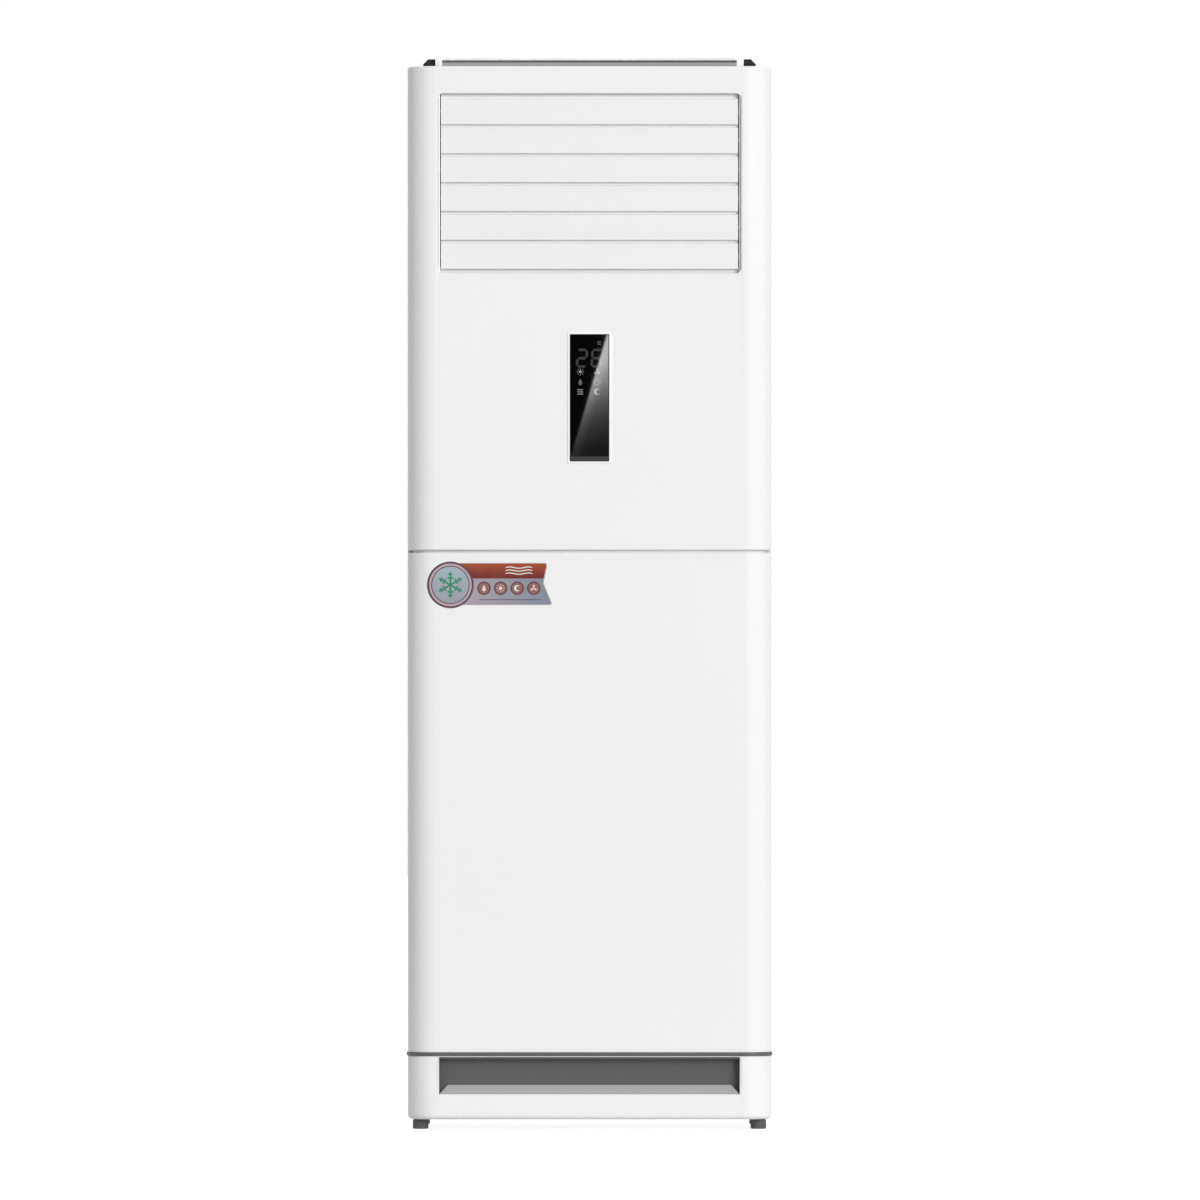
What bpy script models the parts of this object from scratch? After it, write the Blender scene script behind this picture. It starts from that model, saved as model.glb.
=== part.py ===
# Floor standing air conditioner: a tall cabinet with swinging outlet blades, a display and a low air slot.
# Metres, +Z up, the front looks along -Y, and the floor is at z = 0.
import math

import bmesh
import bpy
import numpy as np
from mathutils import Vector
from mathutils.geometry import tessellate_polygon

for old_object in list(bpy.data.objects):
    bpy.data.objects.remove(old_object, do_unlink=True)

# Cabinet
CABINET_WIDTH = 0.602
CABINET_DEPTH = 0.380
FRONT_CORNER_RADIUS = 0.046
REAR_CORNER_RADIUS = 0.012
PANEL_WALL = 0.004
SHEET = 0.0012
FIT = 0.0003
PANEL_WRAP = 0.070
SIDE_SEAM = 0.001

# Heights, from the floor up
FOOT_HEIGHT = 0.0157
BASE_HEIGHT = 0.1049
TRIM_HEIGHT = 0.0056
TRIM_PROUD = 0.002
TRIM_EDGE = 0.0008
LOWER_PANEL_HEIGHT = 0.8258
FRONT_SEAM = 0.004
UPPER_PANEL_HEIGHT = 0.8007
TOP_COVER_HEIGHT = 0.014

# Panel edges
SOFT_EDGE = 0.0006
PANEL_EDGE_ROUND = 0.0036
LIP_HEIGHT = 0.012
LIP_WALL = 0.002
LIP_SET_BACK = 0.009
LIP_LEDGE = 0.003
SHOULDER_DROP = 0.0025
SHOULDER_WIDTH = 0.008

# Base
BASE_WALL = 0.0025
BASE_BOTTOM_ROUND = 0.008
BASE_FLANGE = 0.011
BASE_TOP_LEDGE = 0.0015
PAN_SHEET = 0.0015
SLOT_SIDE_MARGIN = 0.0525
SLOT_SILL_ABOVE_BASE = 0.0420
SLOT_DEPTH = 0.015
SILL_RISE = 0.0150
SILL_MITRE = 0.014
FRAME_WALL = 0.003
FILTER_CORNER = 0.004
FOOT_RADIUS = 0.013
FOOT_STUD_RADIUS = 0.005
FOOT_SIDE_INSET = 0.0215
FOOT_END_INSET = 0.040
FOOT_EDGE = 0.0015

# Outlet and its blades
OUTLET_SIDE_MARGIN = 0.0505
OUTLET_HEIGHT = 0.297
OUTLET_BELOW_TOP = 0.0455
OUTLET_CORNER_RADIUS = 0.008
OUTLET_CHAMFER = 0.0015
OUTLET_RETURN = 0.008
RETURN_WALL = 0.0025
BLADE_COUNT = 6
BLADE_GAP = 0.0052
BLADE_TOP_MARGIN = 0.0085
BLADE_BOTTOM_MARGIN = 0.0069
BLADE_END_GAP = 0.005
BLADE_SET_BACK = 0.006
BLADE_WALL = 0.003
BLADE_TOP_ROUND = 0.0028
BLADE_LOW_ROUND = 0.0010
BLADE_BACK_ROUND = 0.0006
BLADE_INNER_ROUND = 0.0012
AXIS_BEHIND_BLADE = 0.008
LAP_CLEARANCE = 0.005
LAP_WALL = 0.0025
LAP_OVERLAP = 0.0045
LAP_ROUND = 0.0008
PIN_RADIUS = 0.003
PIN_PLAY = 0.0005
WEB_WALL = 0.003
WEB_RADIUS = 0.0055
ARM_WALL = 0.003
ARM_RADIUS = 0.004
ARM_FROM_LEFT = 0.042
ARM_PIN_BACK = 0.011
ARM_PIN_ABOVE_BLADE = 0.0165
ARM_PIN_RADIUS = 0.002
TIE_BAR_HALF_WIDTH = 0.003
TIE_BAR_WALL = 0.0025
TIE_BAR_END = 0.0045
BEARING_WALL = 0.003
BEARING_CLEARANCE = 0.0015

# Duct behind the blades
DUCT_DEPTH = 0.182
DUCT_HEADROOM = 0.018
DUCT_FLOOR_DROP = 0.010
DUCT_WALL = 0.002
VANE_COUNT = 7
VANE_WALL = 0.0018
VANE_DEPTH = 0.030
VANE_BEHIND_AXIS = 0.048
COIL_THICKNESS = 0.044

# Display
LENS_WIDTH = 0.065
LENS_HEIGHT = 0.210
LENS_BELOW_TOP = 0.4435
LENS_PROUD = 0.0023
LENS_THICKNESS = 0.0040
LENS_BEVEL = 0.0012
LENS_FOOT_BEVEL = 0.0080
BEZEL_RIM = 0.004
BEZEL_PROUD = 0.0014
BEZEL_SKIRT = 0.0015
LENS_CORNER = 0.0015
LENS_FACE_CORNER = 0.0008
BEZEL_CORNER = 0.003
BEZEL_EDGE = 0.0008

# Side air slots
SIDE_SLOT_LENGTH = 0.054
SIDE_SLOT_HEIGHT = 0.0070
SIDE_SLOT_COLUMNS = 3
SIDE_SLOT_ROWS = 16
SIDE_SLOT_PITCH_Y = 0.066
SIDE_SLOT_PITCH_Z = 0.026
SIDE_SLOTS_BEHIND_SEAM = 0.079
SIDE_SLOTS_ABOVE_BASE = 0.196
SIDE_FLANGE = 0.014
FILTER_WALL = 0.003
FILTER_MARGIN = 0.012

# Back
SWAGE_DEPTH = 0.003
SWAGE_HALF_HEIGHT = 0.018
SWAGE_SLOPE = 0.004
SWAGE_SIDE_MARGIN = 0.050
SWAGE_COUNT = 5
SWAGE_LOW_MARGIN = 0.291
SWAGE_HIGH_MARGIN = 0.212
PIPE_HOLE_RADIUS = 0.036
PIPE_HOLE_SIDE_INSET = 0.111
PIPE_HOLE_ABOVE_BASE = 0.101
PIPE_COVER_RIM = 0.003
BRACKET_WIDTH = 0.090
BRACKET_HEIGHT = 0.050
BRACKET_WALL = 0.002
BRACKET_BELOW_TOP = 0.004
BRACKET_CORNER_RADIUS = 0.004
BRACKET_HOLE_RADIUS = 0.0035
BRACKET_HOLE_SIDE_INSET = 0.015
BRACKET_HOLE_END_INSET = 0.014

# Top
COVER_SIDE_MARGIN = 0.0575
COVER_WALL = 0.0035
COVER_FRONT_INSET = 0.008
COVER_GROOVE_DEPTH = 0.0022
COVER_GROOVE_BOTTOM = 0.0084
COVER_GROOVE_TOP = 0.0050
COVER_BEVEL_DROP = 0.0042
COVER_BEVEL_RUN = 0.016
COVER_END_RUN = 0.008
CAP_FRONT_INSET = 0.016
COVER_BACK_INSET = 0.030
HOOK_WIDTH = 0.011
HOOK_DEPTH = 0.018
HOOK_HEIGHT = 0.0125
CAP_WIDTH = 0.020
CAP_SLANT = 0.008
CAP_HEIGHT = 0.0115
CAP_GROOVE_DEPTH = 0.004
CAP_EDGE = 0.003
HOOK_CORNER = 0.004
HOOK_EDGE = 0.001
HOOK_FRONT_ROUND = 0.002
CAP_ROUND = 0.0012

# Levels and planes that follow
FRONT_Y = -CABINET_DEPTH / 2
BACK_Y = CABINET_DEPTH / 2
HALF_WIDTH = CABINET_WIDTH / 2
BASE_BOTTOM = FOOT_HEIGHT + FIT
BASE_TOP = BASE_BOTTOM + BASE_HEIGHT
TRIM_BOTTOM = BASE_TOP + FIT
TRIM_TOP = TRIM_BOTTOM + TRIM_HEIGHT
PANELS_BOTTOM = TRIM_TOP + FIT
SLOT_WIDTH = CABINET_WIDTH - 2 * SLOT_SIDE_MARGIN
OUTLET_WIDTH = CABINET_WIDTH - 2 * OUTLET_SIDE_MARGIN
COVER_WIDTH = CABINET_WIDTH - 2 * COVER_SIDE_MARGIN
PIPE_HOLE_X = PIPE_HOLE_SIDE_INSET - HALF_WIDTH
PIPE_HOLE_Z = PANELS_BOTTOM + PIPE_HOLE_ABOVE_BASE
LOWER_TOP = PANELS_BOTTOM + LOWER_PANEL_HEIGHT
UPPER_BOTTOM = LOWER_TOP + FRONT_SEAM
UPPER_TOP = UPPER_BOTTOM + UPPER_PANEL_HEIGHT
SIDES_TOP = UPPER_TOP - SHOULDER_DROP
WRAP_Y = FRONT_Y + PANEL_WRAP
SIDE_FRONT_Y = WRAP_Y + SIDE_SEAM
BACK_SHEET_Y = BACK_Y - SHEET
SIDE_BACK_Y = BACK_SHEET_Y - FIT
OUTLET_TOP = UPPER_TOP - OUTLET_BELOW_TOP
OUTLET_BOTTOM = OUTLET_TOP - OUTLET_HEIGHT
BLADE_PITCH = (OUTLET_HEIGHT - BLADE_TOP_MARGIN - BLADE_BOTTOM_MARGIN + BLADE_GAP) / BLADE_COUNT
BLADE_HALF = (BLADE_PITCH - BLADE_GAP) / 2
BLADE_END = OUTLET_WIDTH / 2 - BLADE_END_GAP
AXIS_Y = FRONT_Y + BLADE_SET_BACK + AXIS_BEHIND_BLADE
BEARING_FACE = BLADE_END + BEARING_CLEARANCE
ARM_X = -BLADE_END + ARM_FROM_LEFT
ARM_PIN_UP = BLADE_HALF + ARM_PIN_ABOVE_BLADE
DUCT_FRONT_Y = FRONT_Y + OUTLET_RETURN + FIT
DUCT_BACK_Y = DUCT_FRONT_Y + DUCT_DEPTH
DUCT_FLOOR = OUTLET_BOTTOM - DUCT_FLOOR_DROP
DUCT_CEILING = OUTLET_TOP + DUCT_HEADROOM
TOP_DECK = UPPER_TOP


def material(name, colour, roughness, metallic=0.0):
    made = bpy.data.materials.new(name)
    made.use_nodes = True
    made.diffuse_color = (*colour, 1.0)
    shader = made.node_tree.nodes["Principled BSDF"]
    shader.inputs["Base Color"].default_value = (*colour, 1.0)
    shader.inputs["Roughness"].default_value = roughness
    shader.inputs["Metallic"].default_value = metallic
    return made


PANEL_WHITE = material("panel_white", (0.84, 0.84, 0.83), 0.32)
SHEET_WHITE = material("sheet_white", (0.80, 0.80, 0.79), 0.42)
BLADE_WHITE = material("blade_white", (0.83, 0.83, 0.82), 0.35)
DUCT_WHITE = material("duct_white", (0.72, 0.72, 0.71), 0.50)
TRIM_GREY = material("trim_grey", (0.09, 0.09, 0.09), 0.45)
RECESS_GREY = material("recess_grey", (0.10, 0.10, 0.10), 0.60)
SILL_GREY = material("sill_grey", (0.36, 0.36, 0.36), 0.50)
MESH_GREY = material("mesh_grey", (0.09, 0.09, 0.09), 0.80)
LENS_BLACK = material("lens_black", (0.006, 0.006, 0.007), 0.08)
BEZEL_WHITE = material("bezel_white", (0.90, 0.90, 0.90), 0.25)
FOOT_GREY = material("foot_grey", (0.11, 0.11, 0.11), 0.70)
CAP_BLACK = material("cap_black", (0.02, 0.02, 0.02), 0.50)
COVER_GREY = material("cover_grey", (0.24, 0.24, 0.24), 0.45)
PAN_STEEL = material("pan_steel", (0.45, 0.46, 0.47), 0.40, 1.0)
COIL_METAL = material("coil_metal", (0.62, 0.64, 0.66), 0.35, 1.0)


def fillet(points, radii, steps=4):
    # Turns each corner of a closed outline into an arc of its own radius.
    points = np.asarray(points, float)
    radii = np.broadcast_to(radii, len(points))
    all_steps = np.broadcast_to(steps, len(points))
    loop = []
    for index, (corner, radius) in enumerate(zip(points, radii)):
        before = points[index - 1] - corner
        after = points[(index + 1) % len(points)] - corner
        before /= np.linalg.norm(before)
        after /= np.linalg.norm(after)
        half = math.acos(float(np.clip(before @ after, -1, 1))) / 2
        if radius <= 0 or half > math.pi / 2 - 1e-4:
            loop.append(corner)
            continue
        reach = radius / math.tan(half)
        centre = corner + (before + after) / np.linalg.norm(before + after) * radius / math.sin(half)
        start, end = corner + before * reach - centre, corner + after * reach - centre
        first = math.atan2(start[1], start[0])
        turn = math.atan2(end[1], end[0]) - first
        turn = (turn + math.pi) % (2 * math.pi) - math.pi
        angles = first + turn * np.linspace(0, 1, all_steps[index] + 1)
        loop.extend(centre + radius * np.column_stack([np.cos(angles), np.sin(angles)]))
    return np.array(loop)


def rectangle(x0, x1, y0, y1, radius=0.0, steps=4):
    return fillet([(x0, y0), (x1, y0), (x1, y1), (x0, y1)], radius, steps)


def circle(centre, radius, steps=20):
    angles = np.arange(steps) * 2 * math.pi / steps
    return np.asarray(centre) + radius * np.column_stack([np.cos(angles), np.sin(angles)])


def lifted(loop, axis, level):
    # Sets a flat outline in space: across x it is (y, z), across y it is (x, z), and across z it is (x, y).
    column = {"x": 0, "y": 1, "z": 2}[axis]
    return np.insert(np.asarray(loop, float), column, level, axis=1)


def clean_mesh(name, vertices, faces, smooth_angle=35):
    mesh = bpy.data.meshes.new(name)
    mesh.from_pydata([tuple(map(float, v)) for v in vertices], [], [tuple(map(int, f)) for f in faces])
    tidy = bmesh.new()
    tidy.from_mesh(mesh)
    bmesh.ops.recalc_face_normals(tidy, faces=tidy.faces)
    tidy.to_mesh(mesh)
    tidy.free()
    mesh.shade_smooth()
    mesh.set_sharp_from_angle(angle=math.radians(smooth_angle))
    return mesh


def prism(loops, axis, start, end):
    # Extrudes an outline, the first loop, with the holes that the other loops cut in it.
    flat = np.concatenate([np.asarray(loop, float) for loop in loops])
    count = len(flat)
    if len(loops) == 1:
        caps = [tuple(range(count))]
    else:
        caps = tessellate_polygon([[Vector((*point, 0.0)) for point in loop] for loop in loops])
    vertices = np.vstack([lifted(flat, axis, start), lifted(flat, axis, end)])
    faces = [tuple(cap) for cap in caps] + [tuple(index + count for index in reversed(cap)) for cap in caps]
    offset = 0
    for loop in loops:
        size = len(loop)
        for index in range(size):
            here, following = offset + index, offset + (index + 1) % size
            faces.append((here, following, following + count, here + count))
        offset += size
    return clean_mesh("prism", vertices, faces)


def loft(sections, closed=False, smooth_angle=35):
    # Skins a row of matching loops; open rows get a cap at each end.
    sections = [np.asarray(section, float) for section in sections]
    size, rows = len(sections[0]), len(sections)
    faces = []
    for row in range(rows if closed else rows - 1):
        first, second = row * size, (row + 1) % rows * size
        for index in range(size):
            after = (index + 1) % size
            faces.append((first + index, first + after, second + after, second + index))
    if not closed:
        faces.append(tuple(range(size)))
        faces.append(tuple(range((rows - 1) * size, rows * size)))
    return clean_mesh("loft", np.vstack(sections), faces, smooth_angle)


def lathe(profile, centre, steps=28):
    # Turns a (radius, height) profile about the vertical through centre; both ends lie on the axis.
    body = np.asarray(profile, float)
    angles = np.arange(steps) * 2 * math.pi / steps
    rings = [
        np.column_stack([centre[0] + r * np.cos(angles), centre[1] + r * np.sin(angles), np.full(steps, z)])
        for r, z in body
    ]
    return loft(rings)


def place(name, mesh, slot, location=(0.0, 0.0, 0.0)):
    made = bpy.data.objects.new(name, mesh)
    mesh.name = name
    mesh.materials.clear()
    mesh.materials.append(slot)
    made.location = location
    bpy.context.collection.objects.link(made)
    return made


def solid_result(base, others, operation):
    # Joins or cuts meshes with exact Booleans and hands back one mesh.
    holder = bpy.data.objects.new("working", base)
    bpy.context.collection.objects.link(holder)
    helpers = []
    for mesh in others:
        helper = bpy.data.objects.new("helper", mesh)
        bpy.context.collection.objects.link(helper)
        helpers.append(helper)
        step = holder.modifiers.new("shape", "BOOLEAN")
        step.operation = operation
        step.solver = "EXACT"
        step.object = helper
    graph = bpy.context.evaluated_depsgraph_get()
    graph.update()
    result = bpy.data.meshes.new_from_object(holder.evaluated_get(graph))
    for helper in helpers + [holder]:
        bpy.data.objects.remove(helper, do_unlink=True)
    result.shade_smooth()
    result.set_sharp_from_angle(angle=math.radians(35))
    return result


def fused(meshes):
    return solid_result(meshes[0], meshes[1:], "UNION")


def cut(mesh, cutters):
    return solid_result(mesh, cutters, "DIFFERENCE")


def joined(meshes):
    # Puts separate bodies that do not touch into one mesh, for a single cutter.
    both = bmesh.new()
    for mesh in meshes:
        both.from_mesh(mesh)
    result = bpy.data.meshes.new("cutters")
    both.to_mesh(result)
    both.free()
    return result


def corner_arc(centre, radius, first_angle, last_angle, steps):
    angles = np.radians(np.linspace(first_angle, last_angle, steps + 1))
    outward = np.column_stack([np.cos(angles), np.sin(angles)])
    return np.asarray(centre) + radius * outward, -outward


def wrap_path():
    # Plan path of the front panels: left return, front, right return, with the inward direction at each point.
    radius = FRONT_CORNER_RADIUS
    left, left_in = corner_arc((-HALF_WIDTH + radius, FRONT_Y + radius), radius, 180, 270, 10)
    right, right_in = corner_arc((HALF_WIDTH - radius, FRONT_Y + radius), radius, 270, 360, 10)
    points = np.vstack([[(-HALF_WIDTH, WRAP_Y)], left, right, [(HALF_WIDTH, WRAP_Y)]])
    inward = np.vstack([[(1.0, 0.0)], left_in, right_in, [(-1.0, 0.0)]])
    return points, inward


def ring_path():
    # Plan path right round the cabinet, from the left front corner.
    front, rear = FRONT_CORNER_RADIUS, REAR_CORNER_RADIUS
    arcs = [
        corner_arc((-HALF_WIDTH + front, FRONT_Y + front), front, 180, 270, 10),
        corner_arc((HALF_WIDTH - front, FRONT_Y + front), front, 270, 360, 10),
        corner_arc((HALF_WIDTH - rear, BACK_Y - rear), rear, 0, 90, 5),
        corner_arc((-HALF_WIDTH + rear, BACK_Y - rear), rear, 90, 180, 5),
    ]
    return np.vstack([arc[0] for arc in arcs]), np.vstack([arc[1] for arc in arcs])


def shoulder(x, z):
    # Lets the top edge fall towards the sides along a quarter ellipse.
    across = np.clip((np.abs(x) - (HALF_WIDTH - SHOULDER_WIDTH)) / SHOULDER_WIDTH, 0, 1)
    near_top = np.clip((z - (UPPER_TOP - 3 * SHOULDER_DROP)) / (3 * SHOULDER_DROP), 0, 1)
    return z - SHOULDER_DROP * (1 - np.sqrt(1 - across**2)) * near_top


def swept(section, path, closed=False):
    # Carries an (inset, z) section along a plan path.
    points, inward = path
    section = np.asarray(section, float)
    loops = []
    for point, direction in zip(points, inward):
        flat = point + section[:, :1] * direction
        loops.append(np.column_stack([flat, shoulder(flat[:, 0], section[:, 1])]))
    return loft(loops, closed)


def mirrored_pair(name, mesh_of, slot):
    for label, side in (("left", -1.0), ("right", 1.0)):
        place(f"{name}_{label}", mesh_of(side), slot)


# Base: a folded ring with a rounded lower edge and the air slot cut through its front
slot_bottom = BASE_BOTTOM + SLOT_SILL_ABOVE_BASE
slot_top = BASE_TOP - BASE_TOP_LEDGE
plinth_section = fillet(
    [
        (0.0, BASE_BOTTOM),
        (BASE_FLANGE, BASE_BOTTOM),
        (BASE_FLANGE, BASE_BOTTOM + BASE_WALL),
        (BASE_WALL, BASE_BOTTOM + BASE_WALL),
        (BASE_WALL, slot_top),
        (BASE_FLANGE, slot_top),
        (BASE_FLANGE, BASE_TOP),
        (0.0, BASE_TOP),
    ],
    [BASE_BOTTOM_ROUND, 0, 0, BASE_BOTTOM_ROUND - BASE_WALL, 0, 0, 0, SOFT_EDGE],
    [4, 1, 1, 3, 1, 1, 1, 2],
)
slot_cutter = prism(
    [rectangle(-SLOT_WIDTH / 2, SLOT_WIDTH / 2, slot_bottom, slot_top)],
    "y",
    FRONT_Y - BASE_WALL,
    FRONT_Y + 2 * BASE_WALL,
)
place("base_plinth", cut(swept(plinth_section, ring_path(), True), [slot_cutter]), PANEL_WHITE)

pan_bottom = BASE_BOTTOM + BASE_WALL + FIT
pan_inset = BASE_BOTTOM_ROUND + FIT
ring_points, ring_inward = ring_path()
place(
    "base_pan",
    prism([ring_points + pan_inset * ring_inward], "z", pan_bottom, pan_bottom + PAN_SHEET),
    PAN_STEEL,
)

foot_profile = [
    (FOOT_RADIUS - FOOT_EDGE, 0.0),
    (FOOT_RADIUS, FOOT_EDGE),
    (FOOT_RADIUS, FOOT_HEIGHT - FOOT_EDGE),
    (FOOT_RADIUS - FOOT_EDGE, FOOT_HEIGHT),
    (FOOT_STUD_RADIUS, FOOT_HEIGHT),
    (FOOT_STUD_RADIUS, pan_bottom - FIT),
]
foot_x = HALF_WIDTH - FOOT_SIDE_INSET
for end_label, foot_y in (("front", FRONT_Y + FOOT_END_INSET), ("rear", BACK_Y - FOOT_END_INSET)):
    for side_label, side in (("left", -1), ("right", 1)):
        place(f"foot_{end_label}_{side_label}", lathe(foot_profile, (side * foot_x, foot_y)), FOOT_GREY)

# Air slot: a dark pocket behind the base front, a pale mitred sill and a filter across its back
pocket_front = FRONT_Y + BASE_WALL + FIT
pocket_back = pocket_front + SLOT_DEPTH
pocket_half = SLOT_WIDTH / 2
frame_top = slot_top - FIT
frame_outline = rectangle(
    -pocket_half - FRAME_WALL, pocket_half + FRAME_WALL, slot_bottom - FRAME_WALL, frame_top
)
frame_hole = rectangle(-pocket_half, pocket_half, slot_bottom, frame_top - FRAME_WALL)
place(
    "intake_frame",
    prism([frame_outline, frame_hole], "y", pocket_front, pocket_back + FIT + FILTER_WALL),
    RECESS_GREY,
)
place(
    "intake_filter",
    prism(
        [rectangle(-pocket_half + FIT, pocket_half - FIT, slot_bottom + FIT, frame_top - FRAME_WALL - FIT)],
        "y",
        pocket_back + FIT,
        pocket_back + FIT + FILTER_WALL,
    ),
    MESH_GREY,
)
sill_half = pocket_half - FIT
sill_bottom = slot_bottom + FIT
sill_ridge = sill_half - SILL_MITRE
sill_vertices = [
    (-sill_half, pocket_front, sill_bottom),
    (sill_half, pocket_front, sill_bottom),
    (sill_half, pocket_back, sill_bottom),
    (-sill_half, pocket_back, sill_bottom),
    (sill_ridge, pocket_back, slot_bottom + SILL_RISE),
    (-sill_ridge, pocket_back, slot_bottom + SILL_RISE),
]
sill_faces = [(0, 1, 2, 3), (0, 1, 4, 5), (1, 2, 4), (0, 5, 3), (2, 3, 5, 4)]
place("intake_sill", clean_mesh("sill", sill_vertices, sill_faces), SILL_GREY)

# Dark trim line between base and panels
trim_section = fillet(
    [
        (-TRIM_PROUD, TRIM_BOTTOM),
        (BASE_FLANGE, TRIM_BOTTOM),
        (BASE_FLANGE, TRIM_TOP),
        (-TRIM_PROUD, TRIM_TOP),
    ],
    [TRIM_EDGE, 0, 0, TRIM_EDGE],
    2,
)
place("base_trim_ring", swept(trim_section, ring_path(), True), TRIM_GREY)

# Lower front panel, with the lip that shows in the seam
lip_inner = LIP_SET_BACK + LIP_WALL
lower_section = fillet(
    [
        (0.0, PANELS_BOTTOM),
        (PANEL_WALL, PANELS_BOTTOM),
        (PANEL_WALL, LOWER_TOP - LIP_LEDGE),
        (lip_inner, LOWER_TOP - LIP_LEDGE),
        (lip_inner, LOWER_TOP + LIP_HEIGHT),
        (LIP_SET_BACK, LOWER_TOP + LIP_HEIGHT),
        (LIP_SET_BACK, LOWER_TOP),
        (0.0, LOWER_TOP),
    ],
    [SOFT_EDGE, 0, 0, 0, SOFT_EDGE, SOFT_EDGE, 0, PANEL_EDGE_ROUND],
    [2, 1, 1, 1, 1, 1, 1, 3],
)
place("lower_front_panel", swept(lower_section, wrap_path()), PANEL_WHITE)

# Upper front panel: outlet with a return rim, and the window for the display
upper_section = fillet(
    [(0.0, UPPER_BOTTOM), (PANEL_WALL, UPPER_BOTTOM), (PANEL_WALL, UPPER_TOP), (0.0, UPPER_TOP)],
    [PANEL_EDGE_ROUND, 0, 0, PANEL_EDGE_ROUND],
)
half_outlet = OUTLET_WIDTH / 2


def outlet_loop(grow):
    return rectangle(
        -half_outlet - grow,
        half_outlet + grow,
        OUTLET_BOTTOM - grow,
        OUTLET_TOP + grow,
        OUTLET_CORNER_RADIUS + grow,
    )


rim = prism([outlet_loop(RETURN_WALL)], "y", FRONT_Y + PANEL_WALL / 2, FRONT_Y + OUTLET_RETURN)
outlet_cutter = loft(
    [
        lifted(outlet_loop(2 * OUTLET_CHAMFER), "y", FRONT_Y - OUTLET_CHAMFER),
        lifted(outlet_loop(0.0), "y", FRONT_Y + OUTLET_CHAMFER),
        lifted(outlet_loop(0.0), "y", FRONT_Y + 2 * OUTLET_RETURN),
    ]
)
lens_top = UPPER_TOP - LENS_BELOW_TOP
lens_bottom = lens_top - LENS_HEIGHT


def lens_loop(grow, corner=LENS_CORNER):
    half = LENS_WIDTH / 2 + grow
    return rectangle(-half, half, lens_bottom - grow, lens_top + grow, corner, 3)


window_cutter = prism([lens_loop(BEZEL_SKIRT + 2 * FIT)], "y", FRONT_Y - PANEL_WALL, FRONT_Y + 2 * PANEL_WALL)
upper_panel = fused([swept(upper_section, wrap_path()), rim])
place("upper_front_panel", cut(upper_panel, [outlet_cutter, window_cutter]), PANEL_WHITE)

# Display: a raised rim with a skirt through the window, and the lens inside it
bezel_flange = loft(
    [
        lifted(lens_loop(BEZEL_RIM, BEZEL_CORNER), "y", FRONT_Y - FIT),
        lifted(lens_loop(BEZEL_RIM, BEZEL_CORNER), "y", FRONT_Y - BEZEL_PROUD / 2),
        lifted(lens_loop(BEZEL_RIM - BEZEL_EDGE, BEZEL_CORNER - BEZEL_EDGE), "y", FRONT_Y - BEZEL_PROUD),
    ]
)
bezel_skirt = prism([lens_loop(BEZEL_SKIRT + FIT)], "y", FRONT_Y - BEZEL_PROUD / 2, FRONT_Y + PANEL_WALL)
bezel_bore = prism([lens_loop(FIT)], "y", FRONT_Y - PANEL_WALL, FRONT_Y + 2 * PANEL_WALL)
place("display_bezel", cut(fused([bezel_flange, bezel_skirt]), [bezel_bore]), BEZEL_WHITE)
lens_half = LENS_WIDTH / 2
lens_back_y = FRONT_Y - LENS_PROUD + LENS_THICKNESS
lens_rim_y = FRONT_Y - LENS_PROUD + LENS_BEVEL
lens_face = rectangle(
    -lens_half + LENS_BEVEL,
    lens_half - LENS_BEVEL,
    lens_bottom + LENS_FOOT_BEVEL,
    lens_top - LENS_BEVEL,
    LENS_FACE_CORNER,
    3,
)
place(
    "display_lens",
    loft(
        [
            lifted(lens_loop(0.0), "y", lens_back_y),
            lifted(lens_loop(0.0), "y", lens_rim_y),
            lifted(lens_face, "y", FRONT_Y - LENS_PROUD),
        ],
        smooth_angle=10,
    ),
    LENS_BLACK,
)

# Side panels: folded sheet with rows of air slots, and a filter behind the slots
slot_rows = PANELS_BOTTOM + SIDE_SLOTS_ABOVE_BASE + SIDE_SLOT_PITCH_Z * np.arange(SIDE_SLOT_ROWS)
slot_columns = SIDE_FRONT_Y + SIDE_SLOTS_BEHIND_SEAM + SIDE_SLOT_PITCH_Y * np.arange(SIDE_SLOT_COLUMNS)
slot_half_length = SIDE_SLOT_LENGTH / 2
slot_half_height = SIDE_SLOT_HEIGHT / 2


def side_panel(side):
    inner = REAR_CORNER_RADIUS - SHEET
    plan = fillet(
        [
            (HALF_WIDTH - SIDE_FLANGE, SIDE_FRONT_Y),
            (HALF_WIDTH, SIDE_FRONT_Y),
            (HALF_WIDTH, SIDE_BACK_Y),
            (HALF_WIDTH - 2 * SIDE_FLANGE, SIDE_BACK_Y),
            (HALF_WIDTH - 2 * SIDE_FLANGE, SIDE_BACK_Y - SHEET),
            (HALF_WIDTH - SHEET, SIDE_BACK_Y - SHEET),
            (HALF_WIDTH - SHEET, SIDE_FRONT_Y + SHEET),
            (HALF_WIDTH - SIDE_FLANGE, SIDE_FRONT_Y + SHEET),
        ],
        [0, SOFT_EDGE, REAR_CORNER_RADIUS, 0, 0, inner, 0, 0],
        5,
    )
    plan[:, 0] *= side
    sheet = prism([plan], "z", PANELS_BOTTOM, SIDES_TOP)
    cutters = [
        prism(
            [
                rectangle(
                    y - slot_half_length,
                    y + slot_half_length,
                    z - slot_half_height,
                    z + slot_half_height,
                    slot_half_height * 0.8,
                    1,
                )
            ],
            "x",
            side * (HALF_WIDTH - 3 * SHEET),
            side * (HALF_WIDTH + SHEET),
        )
        for y in slot_columns
        for z in slot_rows
    ]
    return cut(sheet, [joined(cutters)])


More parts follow.
